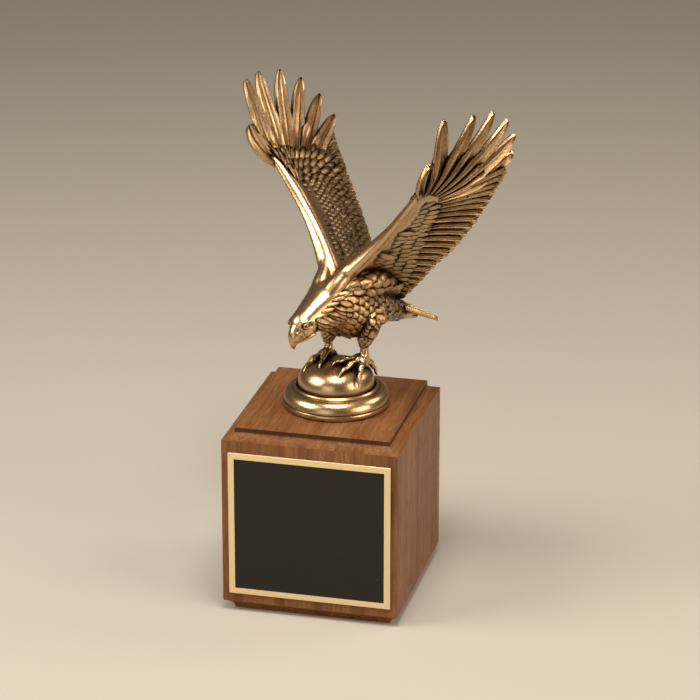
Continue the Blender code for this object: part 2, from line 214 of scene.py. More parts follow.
def join(objects, name):
    """Joins objects into one mesh object without changing their shapes."""
    bpy.ops.object.select_all(action="DESELECT")
    for each in objects:
        each.select_set(True)
    bpy.context.view_layer.objects.active = objects[0]
    bpy.ops.object.join()
    joined = bpy.context.view_layer.objects.active
    joined.name = name
    return joined


def triangles(objects):
    return sum(len(face.vertices) - 2 for each in objects for face in each.data.polygons)


print("helpers ready")

# %% [markdown]
# ## Wings
# Both wings are one mirrored shape. A place on a wing is given by its span, out from the shoulder, its
# chord, back from the front edge, and its lift off the skin. The skin itself is a flat plane that is
# hollowed behind the arm and curled up towards the tips.

# %% Wing sheet
WING_ROOT = (0.8, 12.1, 27.7)
WING_RISE = math.radians(48.0)
WING_LEVEL = 3.0
HOLLOW = 23.0
HOLLOW_CHORD = 75.0
HOLLOW_SPAN = 130.0
CURL = 13.0
CURL_FROM = 80.0
CURL_OVER = 55.0
FRONT_ROWS = [
    (-14.0, (-6.0,)), (0.0, (-2.0,)), (22.0, (6.5,)), (43.0, (11.5,)), (68.0, (13.0,)), (80.0, (13.4,)),
    (92.0, (12.2,)), (106.0, (12.0,)),
]


def wing_place(span, chord, lift, side):
    """A point of a wing in the figure's frame."""
    hollow = HOLLOW * (chord / HOLLOW_CHORD) ** 2 * (1.0 - span / HOLLOW_SPAN)
    curl = CURL * max(0.0, (span - CURL_FROM) / CURL_OVER) ** 1.5
    lift = lift + WING_LEVEL - hollow + curl
    left = WING_ROOT[1] + span * math.cos(WING_RISE) - lift * math.sin(WING_RISE)
    up = WING_ROOT[2] + span * math.sin(WING_RISE) + lift * math.cos(WING_RISE)
    return Vector((WING_ROOT[0] - chord, side * left, up))


def wing_point(span, chord, lift, side):
    return FIGURE @ wing_place(span, chord, lift, side)


def front_edge(span):
    return along(FRONT_ROWS, span)[0]


print("wing tip", [round(v, 3) for v in wing_point(136.0, 34.0, 0.0, 1)])

# %% [markdown]
# ## Flight feathers
# A flight feather is a blade. Its front rim is rolled down, a trough runs behind the rim, a shaft
# stands proud in the middle and the rear half carries the barbs. The section below gives these heights
# for both faces. The outline is a formula: full width where feathers overlap, a notch where each
# finger comes free, then a long taper to a rounded tip.

# %% Feather blades
SECTION = [
    # (place across, camber of the mid plane, half thickness), as shares of the blade's thickness
    (-1.0, (-0.66, 0.18)), (-0.90, (-0.30, 0.50)), (-0.76, (0.06, 0.38)), (-0.50, (0.05, 0.12)),
    (-0.22, (0.04, 0.14)), (-0.05, (0.02, 0.66)), (0.12, (0.03, 0.16)), (0.36, (0.03, 0.13)),
    (0.60, (0.0, 0.20)), (0.80, (-0.02, 0.44)), (0.93, (-0.20, 0.46)), (1.0, (-0.36, 0.16)),
]
NOTCH_DEPTH = 0.22
NOTCH_LENGTH = 0.15
TIP_POWER = 2.1
TIP_LEAST = 0.05
THINNING = 0.40
ROOT_SHARE = 0.35
ROOT_OVER = 0.3


def feather(
    name, start, end, width, side, lift, thick, bend=0.0, stations=16, root=(0.7, 0.35), notch=None, tip=0.3
):
    """
    One blade on a wing from start to end, both (span, chord). Root is the share of its width that it
    starts with and where it is full; notch is where a finger comes free.
    """
    run = Vector((end[0] - start[0], end[1] - start[1]))
    across = Vector((-run.y, run.x)).normalized()
    rings = []
    vane = []
    for i in range(stations):
        reach = 1.0 - (1.0 - i / (stations - 1)) ** 1.5
        centre = Vector(start) + run * reach + across * bend * math.sin(math.pi * reach)
        half = width / 2 * (root[0] + (1.0 - root[0]) * min(1.0, reach / root[1]))
        if notch:
            half *= 1.0 - NOTCH_DEPTH * smoothstep(reach, notch, notch + NOTCH_LENGTH)
        if reach > 1.0 - tip:
            half *= math.sqrt(max(TIP_LEAST, 1.0 - ((reach - 1.0 + tip) / tip) ** TIP_POWER))
        level = lift[0] + (lift[1] - lift[0]) * smoothstep(reach, 0.3, 1.0)
        root_thick = ROOT_SHARE + (1.0 - ROOT_SHARE) * min(1.0, reach / ROOT_OVER)
        deep = thick * (1.0 - THINNING * reach) * root_thick
        upper = []
        lower = []
        for place, (camber, height) in SECTION:
            spot = centre + across * half * place
            upper.append(wing_point(spot.x, spot.y, level + deep * (camber + height), side))
            lower.append(wing_point(spot.x, spot.y, level + deep * (camber - height), side))
        rings.append(upper + lower[::-1])
        marks = [(place, reach * run.length, half) for place, shape in SECTION]
        vane += marks + marks[::-1]
    return loft(name, rings, vane)


FAN_PIVOT = Vector((60.0, 22.0))
FINGERS = 6
FAN_START = -5.6
FAN_STEP = 14.3
FAN_CLOSING = 0.30
FINGER_START = 18.0
FINGER_WIDTH = 14.6
FINGER_THICK = 3.4
FINGER_LENGTH = 82.0
LONGEST_FINGER = 2.6
SHORTENING = 1.15
SHORTENING_POWER = 2.1


def finger(i):
    """Where finger i starts and ends: a fan about the wrist, longest in its middle."""
    angle = math.radians(FAN_START + FAN_STEP * i - FAN_CLOSING * i * i)
    length = FINGER_LENGTH - SHORTENING * abs(i - LONGEST_FINGER) ** SHORTENING_POWER
    aim = Vector((math.cos(angle), math.sin(angle)))
    return FAN_PIVOT + aim * FINGER_START, FAN_PIVOT + aim * length


def finger_lift(i):
    """Lift at the root and the tip: the first finger stands up, the middle ones dip, the last rise."""
    return -0.4, 4.6 - 7.6 * smoothstep(i, 0.0, 1.1) + 6.0 * smoothstep(i, 3.2, 5.5)


def fingers(side, word):
    made = []
    for i in range(FINGERS):
        start, end = finger(i)
        made.append(
            feather(
                f"{word}_finger_{i}", start, end, FINGER_WIDTH, side, finger_lift(i), FINGER_THICK,
                bend=1.0, stations=30, root=(0.34, 0.50), notch=0.46, tip=0.40,
            )
        )
    return made


SECONDARIES = 20
SECONDARY_PITCH = 5.9
SECONDARY_FIRST = 89.0
SECONDARY_WIDTH = 8.4
SECONDARY_THICK = 1.7
TRAILING_ROWS = [
    (-28.0, (57.2,)), (-14.0, (61.0,)), (8.0, (66.0,)), (24.0, (71.8,)), (48.0, (77.0,)), (66.0, (79.4,)),
    (90.0, (82.4,)),
]


def secondaries(side, word):
    """The row of feathers along the rear edge, fanned at the fingers and level near the body."""
    made = []
    for i in range(SECONDARIES):
        span = SECONDARY_FIRST - SECONDARY_PITCH * i
        gather = 17.0 * (1.0 - smoothstep(i, -2.0, 7.0))
        start = (span - 1.0 - gather, 32.0 + 9.0 * smoothstep(-i, -5.0, 0.0))
        end = (span, along(TRAILING_ROWS, span)[0])
        lift = (-0.2, 0.15 * (i % 2))
        made.append(
            feather(
                f"{word}_secondary_{i}", start, end, SECONDARY_WIDTH, side, lift, SECONDARY_THICK,
                stations=15, root=(0.5, 0.5), tip=0.09,
            )
        )
    return made


blades = [blade for side, word in SIDES for blade in fingers(side, word) + secondaries(side, word)]
print(len(blades), "flight feathers,", triangles(blades), "triangles")

# %% [markdown]
# ## Wing arm
# In front of the feathers lies the arm: a thick, rounded edge above that thins to a skin at the back.
# Beneath it is nearly flat, with a rolled border. The thumb feather stands at the bend of the wing.

# %% Wing arm
ARM_LEVELS = [
    # (share of the way back, (upper height, lower height)) as shares of the arm's thickness
    (0.0, (0.0, -0.02)), (0.02, (0.17, -0.12)), (0.045, (0.29, -0.18)), (0.065, (0.355, -0.15)),
    (0.08, (0.39, -0.04)), (0.10, (0.43, -0.12)), (0.14, (0.48, -0.20)), (0.175, (0.475, -0.17)),
    (0.20, (0.46, -0.06)), (0.24, (0.43, -0.11)), (0.30, (0.36, -0.12)), (0.40, (0.25, -0.10)),
    (0.70, (0.12, -0.08)), (1.0, (0.06, -0.05)),
]
ARM_BACK = 50.0
ARM_END = 94.0
THUMB = ((76.0, 19.0), (107.6, 8.2))
THUMB_WIDTH = 11.4
THUMB_THICK = 4.4
ARM_RINGS = 46


def arm_shape(span):
    """Front edge, back edge and thickness of the arm at a span."""
    back = ARM_BACK - 20.0 * smoothstep(span, 56.0, ARM_END)
    thick = 17.5 - 7.5 * smoothstep(span, -4.0, 50.0) - 3.0 * smoothstep(span, 50.0, 86.0)
    return front_edge(span), back, thick * (1.0 - 0.86 * smoothstep(span, 74.0, ARM_END))


def arm_level(span, chord, upper=True):
    """How far the arm's skin is off the wing sheet at a place."""
    front, back, thick = arm_shape(min(span, ARM_END))
    reach = min(1.0, max(0.0, (chord - front) / (back - front)))
    return along(ARM_LEVELS, reach)[0 if upper else 1] * thick


def wing_arm(side, word):
    shares = (
        0.0, 0.012, 0.03, 0.045, 0.065, 0.08, 0.095, 0.12, 0.14, 0.16, 0.18, 0.20, 0.22, 0.26, 0.31, 0.38,
        0.48, 0.60, 0.75, 0.88, 1.0,
    )
    rings = []
    for span in np.linspace(-14.0, ARM_END, ARM_RINGS):
        front, back, thick = arm_shape(span)
        upper = [(share, 0) for share in shares]
        lower = [(share, 1) for share in reversed(shares[1:])]
        ring = []
        for share, face in upper + lower:
            level = along(ARM_LEVELS, share)[face] * thick
            ring.append(wing_point(span, front + (back - front) * share, level, side))
        rings.append(ring)
    return loft(f"{word}_arm", rings)


arms = [wing_arm(side, word) for side, word in SIDES]
blades += [
    feather(
        f"{word}_thumb", *THUMB, THUMB_WIDTH, side, (0.0, -0.6), THUMB_THICK,
        bend=-2.0, stations=18, root=(0.6, 0.4), tip=0.40,
    )
    for side, word in SIDES
]
print("arms made")

# %% [markdown]
# ## Body, head and legs
# The trunk is a loft of ovals along the spine. The legs, toes and beak are tubes with a changing
# radius, and so are the shoulders and the flesh under the wings and the tail. A founder's clay would
# be one skin, so these forms are merged later with a voxel remesh and smoothed, which rounds every
# join.

# %% Body, head and legs
BODY_ROWS = [
    # (forward, (height, half width, half depth)) from the tail's root to the brow
    (-66.0, (-12.5, 8.0, 2.8)), (-54.0, (-7.5, 9.5, 6.5)), (-40.0, (-2.5, 13.0, 10.5)),
    (-26.0, (2.0, 16.5, 16.5)), (-12.0, (6.5, 18.0, 21.0)), (0.0, (9.8, 17.0, 19.0)),
    (9.0, (10.9, 14.2, 15.6)), (18.0, (8.8, 11.4, 12.0)), (26.0, (5.6, 9.4, 9.8)),
    (32.0, (3.4, 8.0, 8.4)), (35.6, (2.0, 6.4, 6.6)), (37.8, (1.2, 3.4, 3.8)),
]
TRUNK_RINGS = 72
TRUNK_SIDES = 40
LEAN_SHARE = 0.6
STRIDE = 12.8
FOOT_FORWARD = {1: -10.8, -1: -4.4}
TOES = ((-28.0, 20.0), (2.0, 22.0), (32.0, 18.0), (172.0, 9.0))
TOE_RADIUS = 2.2
TOE_ROWS = (
    # (share of the toe's length, height off the dome, share of its radius)
    (0.0, 4.2, 1.0), (0.22, 4.4, 0.98), (0.40, 2.7, 0.80), (0.56, 2.8, 0.98), (0.70, 1.5, 0.76),
    (0.80, 1.2, 0.72), (0.88, 0.8, 0.4),
)
TALON_ROWS = (
    # (share of the toe's length, height off the dome, radius)
    (0.76, 1.5, 1.25), (0.88, 1.9, 1.2), (1.0, 1.1, 0.85), (1.10, -0.5, 0.25),
)


def body_place(forward, turn, out=0.0):
    """A point of the trunk; turn is 0 on the left and a quarter turn on the back."""
    first = BODY_ROWS[0][0]
    last = BODY_ROWS[-1][0]
    height, wide, deep = along(BODY_ROWS, forward)
    before = along(BODY_ROWS, max(first, forward - 1.0))[0]
    after = along(BODY_ROWS, min(last, forward + 1.0))[0]
    lean = -math.atan2(after - before, 2.0) * LEAN_SHARE
    rise = (deep + out) * math.sin(turn)
    left = (wide + out) * math.cos(turn)
    return Vector((forward + rise * math.sin(lean), left, height + rise * math.cos(lean)))


def trunk():
    rings = []
    turns = [2 * math.pi * k / TRUNK_SIDES for k in range(TRUNK_SIDES)]
    for forward in np.linspace(BODY_ROWS[0][0], BODY_ROWS[-1][0], TRUNK_RINGS):
        rings.append([FIGURE @ body_place(forward, turn) for turn in turns])
    return loft("trunk", rings)


def limb(name, path, sides=16, squash=1.0, across=(0.0, 1.0, 0.0), steps=4):
    """A tube along (point, radius) rows, rounded between the rows."""
    rows = [(float(i), (*point, radius)) for i, (point, radius) in enumerate(path)]
    fine = [along(rows, at) for at in np.linspace(0.0, len(path) - 1.0, (len(path) - 1) * steps + 1)]
    points = [Vector(row[:3]) for row in fine]
    rings = []
    for i, point in enumerate(points):
        ahead = points[min(i + 1, len(points) - 1)]
        behind = points[max(i - 1, 0)]
        run = (ahead - behind).normalized()
        side = Vector(across)
        side = (side - run * side.dot(run)).normalized()
        rise = side.cross(run)
        ring = []
        for k in range(sides):
            turn = 2 * math.pi * k / sides
            offset = (side * math.cos(turn) + rise * math.sin(turn) * squash) * fine[i][3]
            ring.append(FIGURE @ (point + offset))
        rings.append(ring)
    return loft(name, rings)


def dome_level(forward, left):
    """Height of the dome's skin, in figure units, under a point of the figure."""
    reach = min(0.99, math.hypot(forward, left) * FIGURE_UNIT / DOME_RADIUS)
    return -STANCE - (1.0 - (1.0 - reach**DOME_POWER) ** (1.0 / DOME_POWER)) * DOME_HEIGHT / FIGURE_UNIT


def leg_path(side):
    foot = FOOT_FORWARD[side]
    return [
        ((foot - 6.0, 9.0 * side, 4.0), 9.5), ((foot - 5.0, 11.4 * side, -3.0), 9.0),
        ((foot - 3.4, 12.2 * side, -9.0), 7.4), ((foot - 1.4, STRIDE * side, -14.0), 5.0),
        ((foot - 0.6, STRIDE * side, -17.0), 3.3), ((foot - 0.6, STRIDE * side, -21.0), 2.7),
        ((foot - 0.2, STRIDE * side, -25.0), 3.1), ((foot, STRIDE * side, -33.0), 2.8),
    ]


def toe_point(side, angle, length, reach, rise):
    aim = math.radians(angle)
    forward = FOOT_FORWARD[side] + math.cos(aim) * length * reach
    left = side * (STRIDE + math.sin(aim) * length * reach)
    return (forward, left, dome_level(forward, left) + rise)


def toe(side, word, angle, length):
    aim = math.radians(angle)
    rows = [
        (toe_point(side, angle, length, reach, rise), TOE_RADIUS * share)
        for reach, rise, share in TOE_ROWS
    ]
    return limb(f"{word}_toe", rows, 12, 1.0, (-math.sin(aim), side * math.cos(aim), 0.0))


def talon(side, word, angle, length):
    aim = math.radians(angle)
    rows = [(toe_point(side, angle, length, reach, rise), radius) for reach, rise, radius in TALON_ROWS]
    return limb(f"{word}_talon", rows, 10, 1.0, (-math.sin(aim), side * math.cos(aim), 0.0))


UNDER_TAIL = [((-40.0, 0.0, -7.0), 8.0), ((-58.0, 0.0, -12.8), 5.5), ((-73.0, 0.0, -17.8), 2.6)]


def shoulder_path(side):
    """The flesh that joins the underside of a wing to the flank."""
    return [
        ((1.0, 8.0 * side, 19.0), 6.0), ((-10.0, 10.5 * side, 21.0), 8.0), ((-22.0, 10.5 * side, 20.0), 8.6),
        ((-36.0, 8.0 * side, 15.0), 7.2), ((-50.0, 5.0 * side, 7.0), 4.5),
    ]


def cap_path(side):
    """The rounded shoulder, from the side of the neck up into the front edge of the wing."""
    return [
        ((11.0, 4.0 * side, 17.0), 6.6), ((4.0, 6.0 * side, 24.0), 6.6), ((-2.5, 9.4 * side, 31.4), 4.9),
        ((-6.8, 15.2 * side, 38.4), 3.7), ((-9.0, 21.8 * side, 45.0), 2.2),
    ]


clay = [trunk(), limb("under_tail", UNDER_TAIL, squash=0.7)]
clay += [limb(f"{word}_shoulder", shoulder_path(side)) for side, word in SIDES]
clay += [limb(f"{word}_cap", cap_path(side)) for side, word in SIDES]
talons = []
for side, word in SIDES:
    clay.append(limb(f"{word}_leg", leg_path(side)))
    clay += [toe(side, word, angle, length) for angle, length in TOES]
    talons += [talon(side, word, angle, length) for angle, length in TOES]
print(len(clay), "forms of clay")

# %% [markdown]
# ## Head
# The beak is a hooked tube over a shorter lower bill. A heavy brow overhangs the eye, a fold of lid
# rings it, and the mouth line runs back under it. Each is a short tube laid on the skull.

# %% Head
def head_forms():
    made = [
        limb("upper_beak", [
            ((29.5, 0.0, 2.0), 6.6), ((34.2, 0.0, 2.0), 5.2), ((36.6, 0.0, -0.4), 4.6),
            ((38.1, 0.0, -3.2), 3.9), ((38.9, 0.0, -6.0), 2.8), ((38.9, 0.0, -8.4), 1.7),
            ((38.2, 0.0, -10.8), 0.45),
        ]),
        limb("lower_beak", [
            ((26.5, 0.0, 0.4), 5.2), ((31.5, 0.0, -2.8), 4.0), ((34.8, 0.0, -5.0), 2.6),
            ((36.8, 0.0, -6.6), 1.0),
        ], squash=0.8),
    ]
    for side, word in SIDES:
        made.append(limb(f"{word}_brow", [
            ((36.4, 0.0, 5.6), 0.8), ((36.0, 3.2 * side, 6.0), 1.0), ((34.8, 5.4 * side, 6.7), 1.2),
            ((32.2, 6.8 * side, 7.3), 1.1), ((28.6, 7.8 * side, 7.8), 0.6),
        ]))
        made.append(limb(f"{word}_gape", [
            ((39.0, 2.6 * side, -4.8), 0.7), ((35.8, 4.6 * side, -2.7), 1.2),
            ((32.2, 6.3 * side, -0.8), 1.4), ((28.4, 7.8 * side, 0.8), 1.0),
        ]))
        made.append(limb(f"{word}_jaw", [
            ((36.8, 1.6 * side, -6.4), 0.7), ((33.6, 3.6 * side, -5.0), 1.1),
            ((30.0, 5.4 * side, -3.6), 1.2), ((25.5, 7.0 * side, -2.4), 0.8),
        ]))
    return made


def eyes():
    """Eyeballs with a lid ring, left out of the remesh so that they stay crisp."""
    made = []
    for side, word in SIDES:
        middle = Vector((33.4, 6.7 * side, 5.0))
        made.append(limb(f"{word}_eyeball", [
            (middle + Vector((0.5, 0.3 * side, 0.0)) * t, 1.5 * math.sqrt(max(0.02, 1.0 - t * t / 2.6)))
            for t in (-1.6, -1.0, 0.0, 1.0, 1.6)
        ], 14, 1.0, (0.0, 0.0, 1.0)))
        ring = []
        for i in range(13):
            turn = 2 * math.pi * i / 12
            left = side * (0.7 - 0.5 * math.cos(turn))
            ring.append((middle + Vector((2.1 * math.cos(turn), left, 1.45 * math.sin(turn))), 0.5))
        made.append(limb(f"{word}_lid", ring, 8, 1.0, (0.2, 1.0 * side, 0.1), 2))
    return made


clay += head_forms()
details = talons + eyes()
print(len(details), "crisp details")

# %% [markdown]
# ## One skin of clay
# Joined meshes that overlap become one closed skin in a voxel remesh. A few smoothing passes round
# the steps that the voxels leave. Then a stylus draws in it: every stroke pushes the skin in along a
# line, as a modelling tool does in clay. Last, Decimate drops the points that flat places don't need.

# %% One skin of clay
CLAY_VOXEL = 0.0006
CLAY_SMOOTHING = 5
CLAY_KEPT = 0.20


def melt(objects, name):
    joined = join(objects, name)
    remesh = joined.modifiers.new("remesh", "REMESH")
    remesh.mode = "VOXEL"
    remesh.voxel_size = CLAY_VOXEL
    smooth = joined.modifiers.new("smooth", "SMOOTH")
    smooth.factor = 0.5
    smooth.iterations = CLAY_SMOOTHING
    return bake(joined)


def thin_out(made, share):
    thin = made.modifiers.new("thin", "DECIMATE")
    thin.ratio = share
    plain = bake(made)
    if VANE not in plain.data.attributes:
        plain.data.attributes.new(VANE, "FLOAT_VECTOR", "POINT")
    return plain


def press(made, strokes):
    """Pushes the skin in along strokes of (points in the figure's frame, width, depth)."""
    data = made.data
    count = len(data.vertices)
    place = np.empty(count * 3)
    data.vertices.foreach_get("co", place)
    place = place.reshape(-1, 3)
    normal = np.empty(count * 3)
    data.vertex_normals.foreach_get("vector", normal)
    normal = normal.reshape(-1, 3)
    shift = np.zeros(count)
    for points, width, depth in strokes:
        marks = np.array([FIGURE @ Vector(point) for point in points])
        gap = np.full(count, 1.0)
        for a, b in zip(marks[:-1], marks[1:]):
            run = b - a
            t = np.clip(((place - a) @ run) / (run @ run), 0.0, 1.0)
            gap = np.minimum(gap, np.linalg.norm(place - a - t[:, None] * run, axis=1))
        fall = np.clip(1.0 - gap / (width * FIGURE_UNIT), 0.0, 1.0)
        shift = np.maximum(shift, depth * FIGURE_UNIT * fall * fall * (3.0 - 2.0 * fall))
    data.vertices.foreach_set("co", (place - normal * shift[:, None]).ravel())
    data.update()


def face_strokes():
    """The mouth line, the nostril, the crease before the eye and the hollow of the eye."""
    strokes = []
    for side, word in SIDES:
        mouth = [
            (39.6, 2.4 * side, -5.6), (36.0, 4.4 * side, -4.4), (32.0, 6.2 * side, -2.4),
            (28.0, 7.6 * side, -0.8),
        ]
        nostril = [(38.8, 3.3 * side, 1.8), (37.8, 4.2 * side, 2.6)]
        crease = [(37.4, 4.4 * side, 4.4), (36.4, 5.6 * side, 1.6), (34.8, 6.4 * side, -1.0)]
        socket = [(35.8, 6.4 * side, 4.8), (33.0, 7.6 * side, 4.8), (30.4, 8.4 * side, 5.4)]
        strokes += [(mouth, 1.0, 1.0), (nostril, 1.2, 1.1), (crease, 1.1, 0.7), (socket, 2.2, 1.1)]
    return strokes


skin = melt(clay + arms, "clay")
print("clay skin has", len(skin.data.polygons), "faces before it is thinned")
press(skin, face_strokes())
skin = thin_out(skin, CLAY_KEPT)
print("and", len(skin.data.polygons), "after")

# %% [markdown]
# ## Tail
# Seven broad feathers spread from the root of the tail. They use the same section as the wings, bent
# to the tail's own shallow fan.

# %% Tail
TAIL_FEATHERS = 7
TAIL_STEP = math.radians(9.5)
TAIL_START = 46.0
TAIL_REACH = 31.0
TAIL_TIP = 0.86
TAIL_LIFT = 0.9
TAIL_LEVEL = -1.4
TAIL_SLOPE = 0.54
TAIL_THICK = (4.0, 1.2)
TAIL_STATIONS = 14


def tail_feather(i):
    spread = i - TAIL_FEATHERS // 2
    angle = TAIL_STEP * spread
    rings = []
    vane = []
    for t in np.linspace(0.0, 1.0, TAIL_STATIONS):
        reach = TAIL_REACH * t
        half = 2.6 + 2.1 * smoothstep(t, 0.0, 0.6)
        if t > TAIL_TIP:
            half *= math.sqrt(max(0.16, 1.0 - 0.84 * ((t - TAIL_TIP) / (1.0 - TAIL_TIP)) ** 2))
        lift = TAIL_LIFT * (TAIL_FEATHERS // 2 - abs(spread))
        deep = TAIL_THICK[0] - TAIL_THICK[1] * t
        upper = []
        lower = []
        for place, (camber, height) in SECTION:
            place = place if spread <= 0 else -place
            back = TAIL_START + math.cos(angle) * reach - math.sin(angle) * place * half
            left = math.sin(angle) * (reach + 8.0) + math.cos(angle) * place * half
            rise = TAIL_LEVEL - TAIL_SLOPE * (back - TAIL_START) + lift
            upper.append(FIGURE @ Vector((-back, left, rise + deep * (camber * 0.5 + height))))
            lower.append(FIGURE @ Vector((-back, left, rise + deep * (camber * 0.5 - height))))
        rings.append(upper + lower[::-1])
        marks = [(place, reach, half) for place, shape in SECTION]
        vane += marks + marks[::-1]
    return loft(f"tail_feather_{i}", rings, vane)


blades += [tail_feather(i) for i in range(TAIL_FEATHERS)]
print(TAIL_FEATHERS, "tail feathers")

# %% [markdown]
# ## Turned base
# The base is spun on a lathe: one outline with a bead, a groove, a rounded band and the dome. Screw
# turns the outline round the upright axis.

# %% Turned base
BASE_TURNS = 128
SHOULDER_WIDTH = 0.0028
BAND_INSET = 0.0003
BAND_DROP = 0.0014
FOOT_INSET = 0.0012
STEP_RINGS = (
    # (radius past the dome's, height under the shoulder) of the fine ring round the dome's foot
    (0.0002, -0.0008), (0.0006, -0.0004), (0.0011, 0.0), (0.0017, -0.0001), (0.0021, -0.0007),
)


def base_outline():
    """(radius, height) from the axis on the dome, down and round to the foot."""
    band_top = DOME_RADIUS + SHOULDER_WIDTH
    shoulder = BEAD_HEIGHT + BAND_HEIGHT
    points = [(0.0, shoulder + DOME_HEIGHT)]
    for i in range(1, 19):
        turn = math.pi / 2 * (1.0 - i / 18)
        wide = DOME_RADIUS * math.cos(turn) ** (2.0 / DOME_POWER)
        points.append((wide, shoulder + DOME_HEIGHT * math.sin(turn) ** (2.0 / DOME_POWER)))
    points += [(DOME_RADIUS + wide, shoulder + rise) for wide, rise in STEP_RINGS]
    for i in range(16):
        turn = math.pi / 2 * (1.0 - i / 15)
        reach = BASE_RADIUS - BAND_INSET - band_top
        rise = BAND_HEIGHT - BAND_DROP
        points.append((band_top + reach * math.cos(turn), BEAD_HEIGHT + rise * math.sin(turn)))
    points.append((BASE_RADIUS - GROOVE_DEPTH, BEAD_HEIGHT - 0.0002))
    for i in range(9):
        turn = math.pi * (0.5 - i / 8)
        radius = BASE_RADIUS - GROOVE_DEPTH + GROOVE_DEPTH * math.cos(turn)
        points.append((radius, BEAD_HEIGHT * (0.5 + 0.42 * math.sin(turn))))
    return points + [(BASE_RADIUS - FOOT_INSET, 0.0), (0.0, 0.0)]


def turned_base():
    data = bpy.data.meshes.new("turned_base")
    outline = [(radius, 0.0, height) for radius, height in base_outline()]
    data.from_pydata(outline, [(i, i + 1) for i in range(len(outline) - 1)], [])
    made = put("turned_base", data)
    turn = made.modifiers.new("turn", "SCREW")
    turn.steps = BASE_TURNS
    turn.render_steps = BASE_TURNS
    turn.use_merge_vertices = True
    turn.merge_threshold = 0.00001
    baked = bake(made)
    baked.data.transform(Matrix.Translation((*BASE_OFFSET, base_foot)))
    baked.data.attributes.new(VANE, "FLOAT_VECTOR", "POINT")
    return baked


base = turned_base()
print("base has", triangles([base]), "triangles")

# %% [markdown]
# ## Small feathers
# Hundreds of short feathers lie over the arms and the body. One small feather is modelled, and a
# Geometry Nodes tree sets a copy on every point it is given. Each point carries the way the skin
# faces, the way the feather aims and the feather's size. Two Align Rotation nodes turn the copy: the
# first stands it on the skin, the second swings it round to its aim.

# %% One small feather
SMALL_SECTION = (
    # (place across, height) round the section
    (-1.0, 0.05), (-0.62, 0.70), (0.0, 1.0), (0.62, 0.70), (1.0, 0.05), (0.5, -0.9), (-0.5, -0.9),
)
SMALL_STATIONS = (
    # (along, half width, height of the mid plane)
    (0.0, 0.30, -1.1), (0.32, 0.47, -0.25), (0.64, 0.50, 0.25), (0.86, 0.38, 0.35), (1.0, 0.12, 0.0),
)
SMALL_VANE = (8.0, 1.7)


def small_feather():
    rings = []
    vane = []
    for reach, half, rise in SMALL_STATIONS:
        rings.append([Vector((half * place, reach, rise + 0.5 * height)) for place, height in SMALL_SECTION])
        vane += [(place, reach * SMALL_VANE[0], SMALL_VANE[1]) for place, height in SMALL_SECTION]
    return loft("small_feather", rings, vane)


pattern = small_feather()
print("small feather has", triangles([pattern]), "triangles")

# %% [markdown]
# The tree has named inputs for the copy and its finish. An input is set on the modifier by its
# identifier. The tree ends in Realize Instances and Set Material, so that the export meets a plain
# mesh.

# %% Feathering tree
def feathering_tree():
    tree = bpy.data.node_groups.new("feathering", "GeometryNodeTree")
    tree.interface.new_socket("Points", in_out="INPUT", socket_type="NodeSocketGeometry")
    tree.interface.new_socket("Feather", in_out="INPUT", socket_type="NodeSocketObject")
    tree.interface.new_socket("Finish", in_out="INPUT", socket_type="NodeSocketMaterial")
    tree.interface.new_socket("Feathers", in_out="OUTPUT", socket_type="NodeSocketGeometry")
    node = tree.nodes.new
    link = tree.links.new
    given = node("NodeGroupInput")
    result = node("NodeGroupOutput")
    info = node("GeometryNodeObjectInfo")
    link(given.outputs["Feather"], info.inputs["Object"])
    read = {}
    for name in ("facing", "aim", "size"):
        read[name] = node("GeometryNodeInputNamedAttribute")
        read[name].data_type = "FLOAT_VECTOR"
        read[name].inputs["Name"].default_value = name
    stand = node("FunctionNodeAlignRotationToVector")
    stand.axis = "Z"
    link(read["facing"].outputs["Attribute"], stand.inputs["Vector"])
    swing = node("FunctionNodeAlignRotationToVector")
    swing.axis = "Y"
    swing.pivot_axis = "Z"
    link(stand.outputs["Rotation"], swing.inputs["Rotation"])
    link(read["aim"].outputs["Attribute"], swing.inputs["Vector"])
    copy = node("GeometryNodeInstanceOnPoints")
    link(given.outputs["Points"], copy.inputs["Points"])
    link(info.outputs["Geometry"], copy.inputs["Instance"])
    link(swing.outputs["Rotation"], copy.inputs["Rotation"])
    link(read["size"].outputs["Attribute"], copy.inputs["Scale"])
    real = node("GeometryNodeRealizeInstances")
    link(copy.outputs["Instances"], real.inputs["Geometry"])
    finish = node("GeometryNodeSetMaterial")
    link(real.outputs["Geometry"], finish.inputs["Geometry"])
    link(given.outputs["Finish"], finish.inputs["Material"])
    link(finish.outputs["Geometry"], result.inputs["Feathers"])
    return tree


def cover(name, spots, tree, copy, finish):
    """Sets a feather on each spot, given as (place, facing, aim, (width, length, lift))."""
    data = bpy.data.meshes.new(name)
    data.from_pydata([tuple(spot[0]) for spot in spots], [], [])
    for key, column in (("facing", 1), ("aim", 2), ("size", 3)):
        stored = data.attributes.new(key, "FLOAT_VECTOR", "POINT")
        values = [tuple(spot[column]) for spot in spots]
        stored.data.foreach_set("vector", np.array(values, np.float32).ravel())
    made = put(name, data)
    modifier = made.modifiers.new("feathering", "NODES")
    modifier.node_group = tree
    given = {"Feather": copy, "Finish": finish}
    for item in tree.interface.items_tree:
        if item.in_out == "INPUT" and item.name in given:
            modifier[item.identifier] = given[item.name]
    plain = bake(made)
    for key in ("facing", "aim", "size"):
        if key in plain.data.attributes:
            plain.data.attributes.remove(plain.data.attributes[key])
    return plain


bronze = bpy.data.materials.new("antique_bronze")
tree = feathering_tree()
print("tree has", len(tree.nodes), "nodes")

# %% [markdown]
# ## Coverts on the wings
# Above, rows of scales run along the arm, and three rows of narrow coverts fan out over the roots of
# the fingers. Beneath, the rows are longer and flatter. A place on the wing gives the feather's seat: the
# skin's slopes along the span and the chord give the way it faces, and the flow of the plumage gives
# its aim.

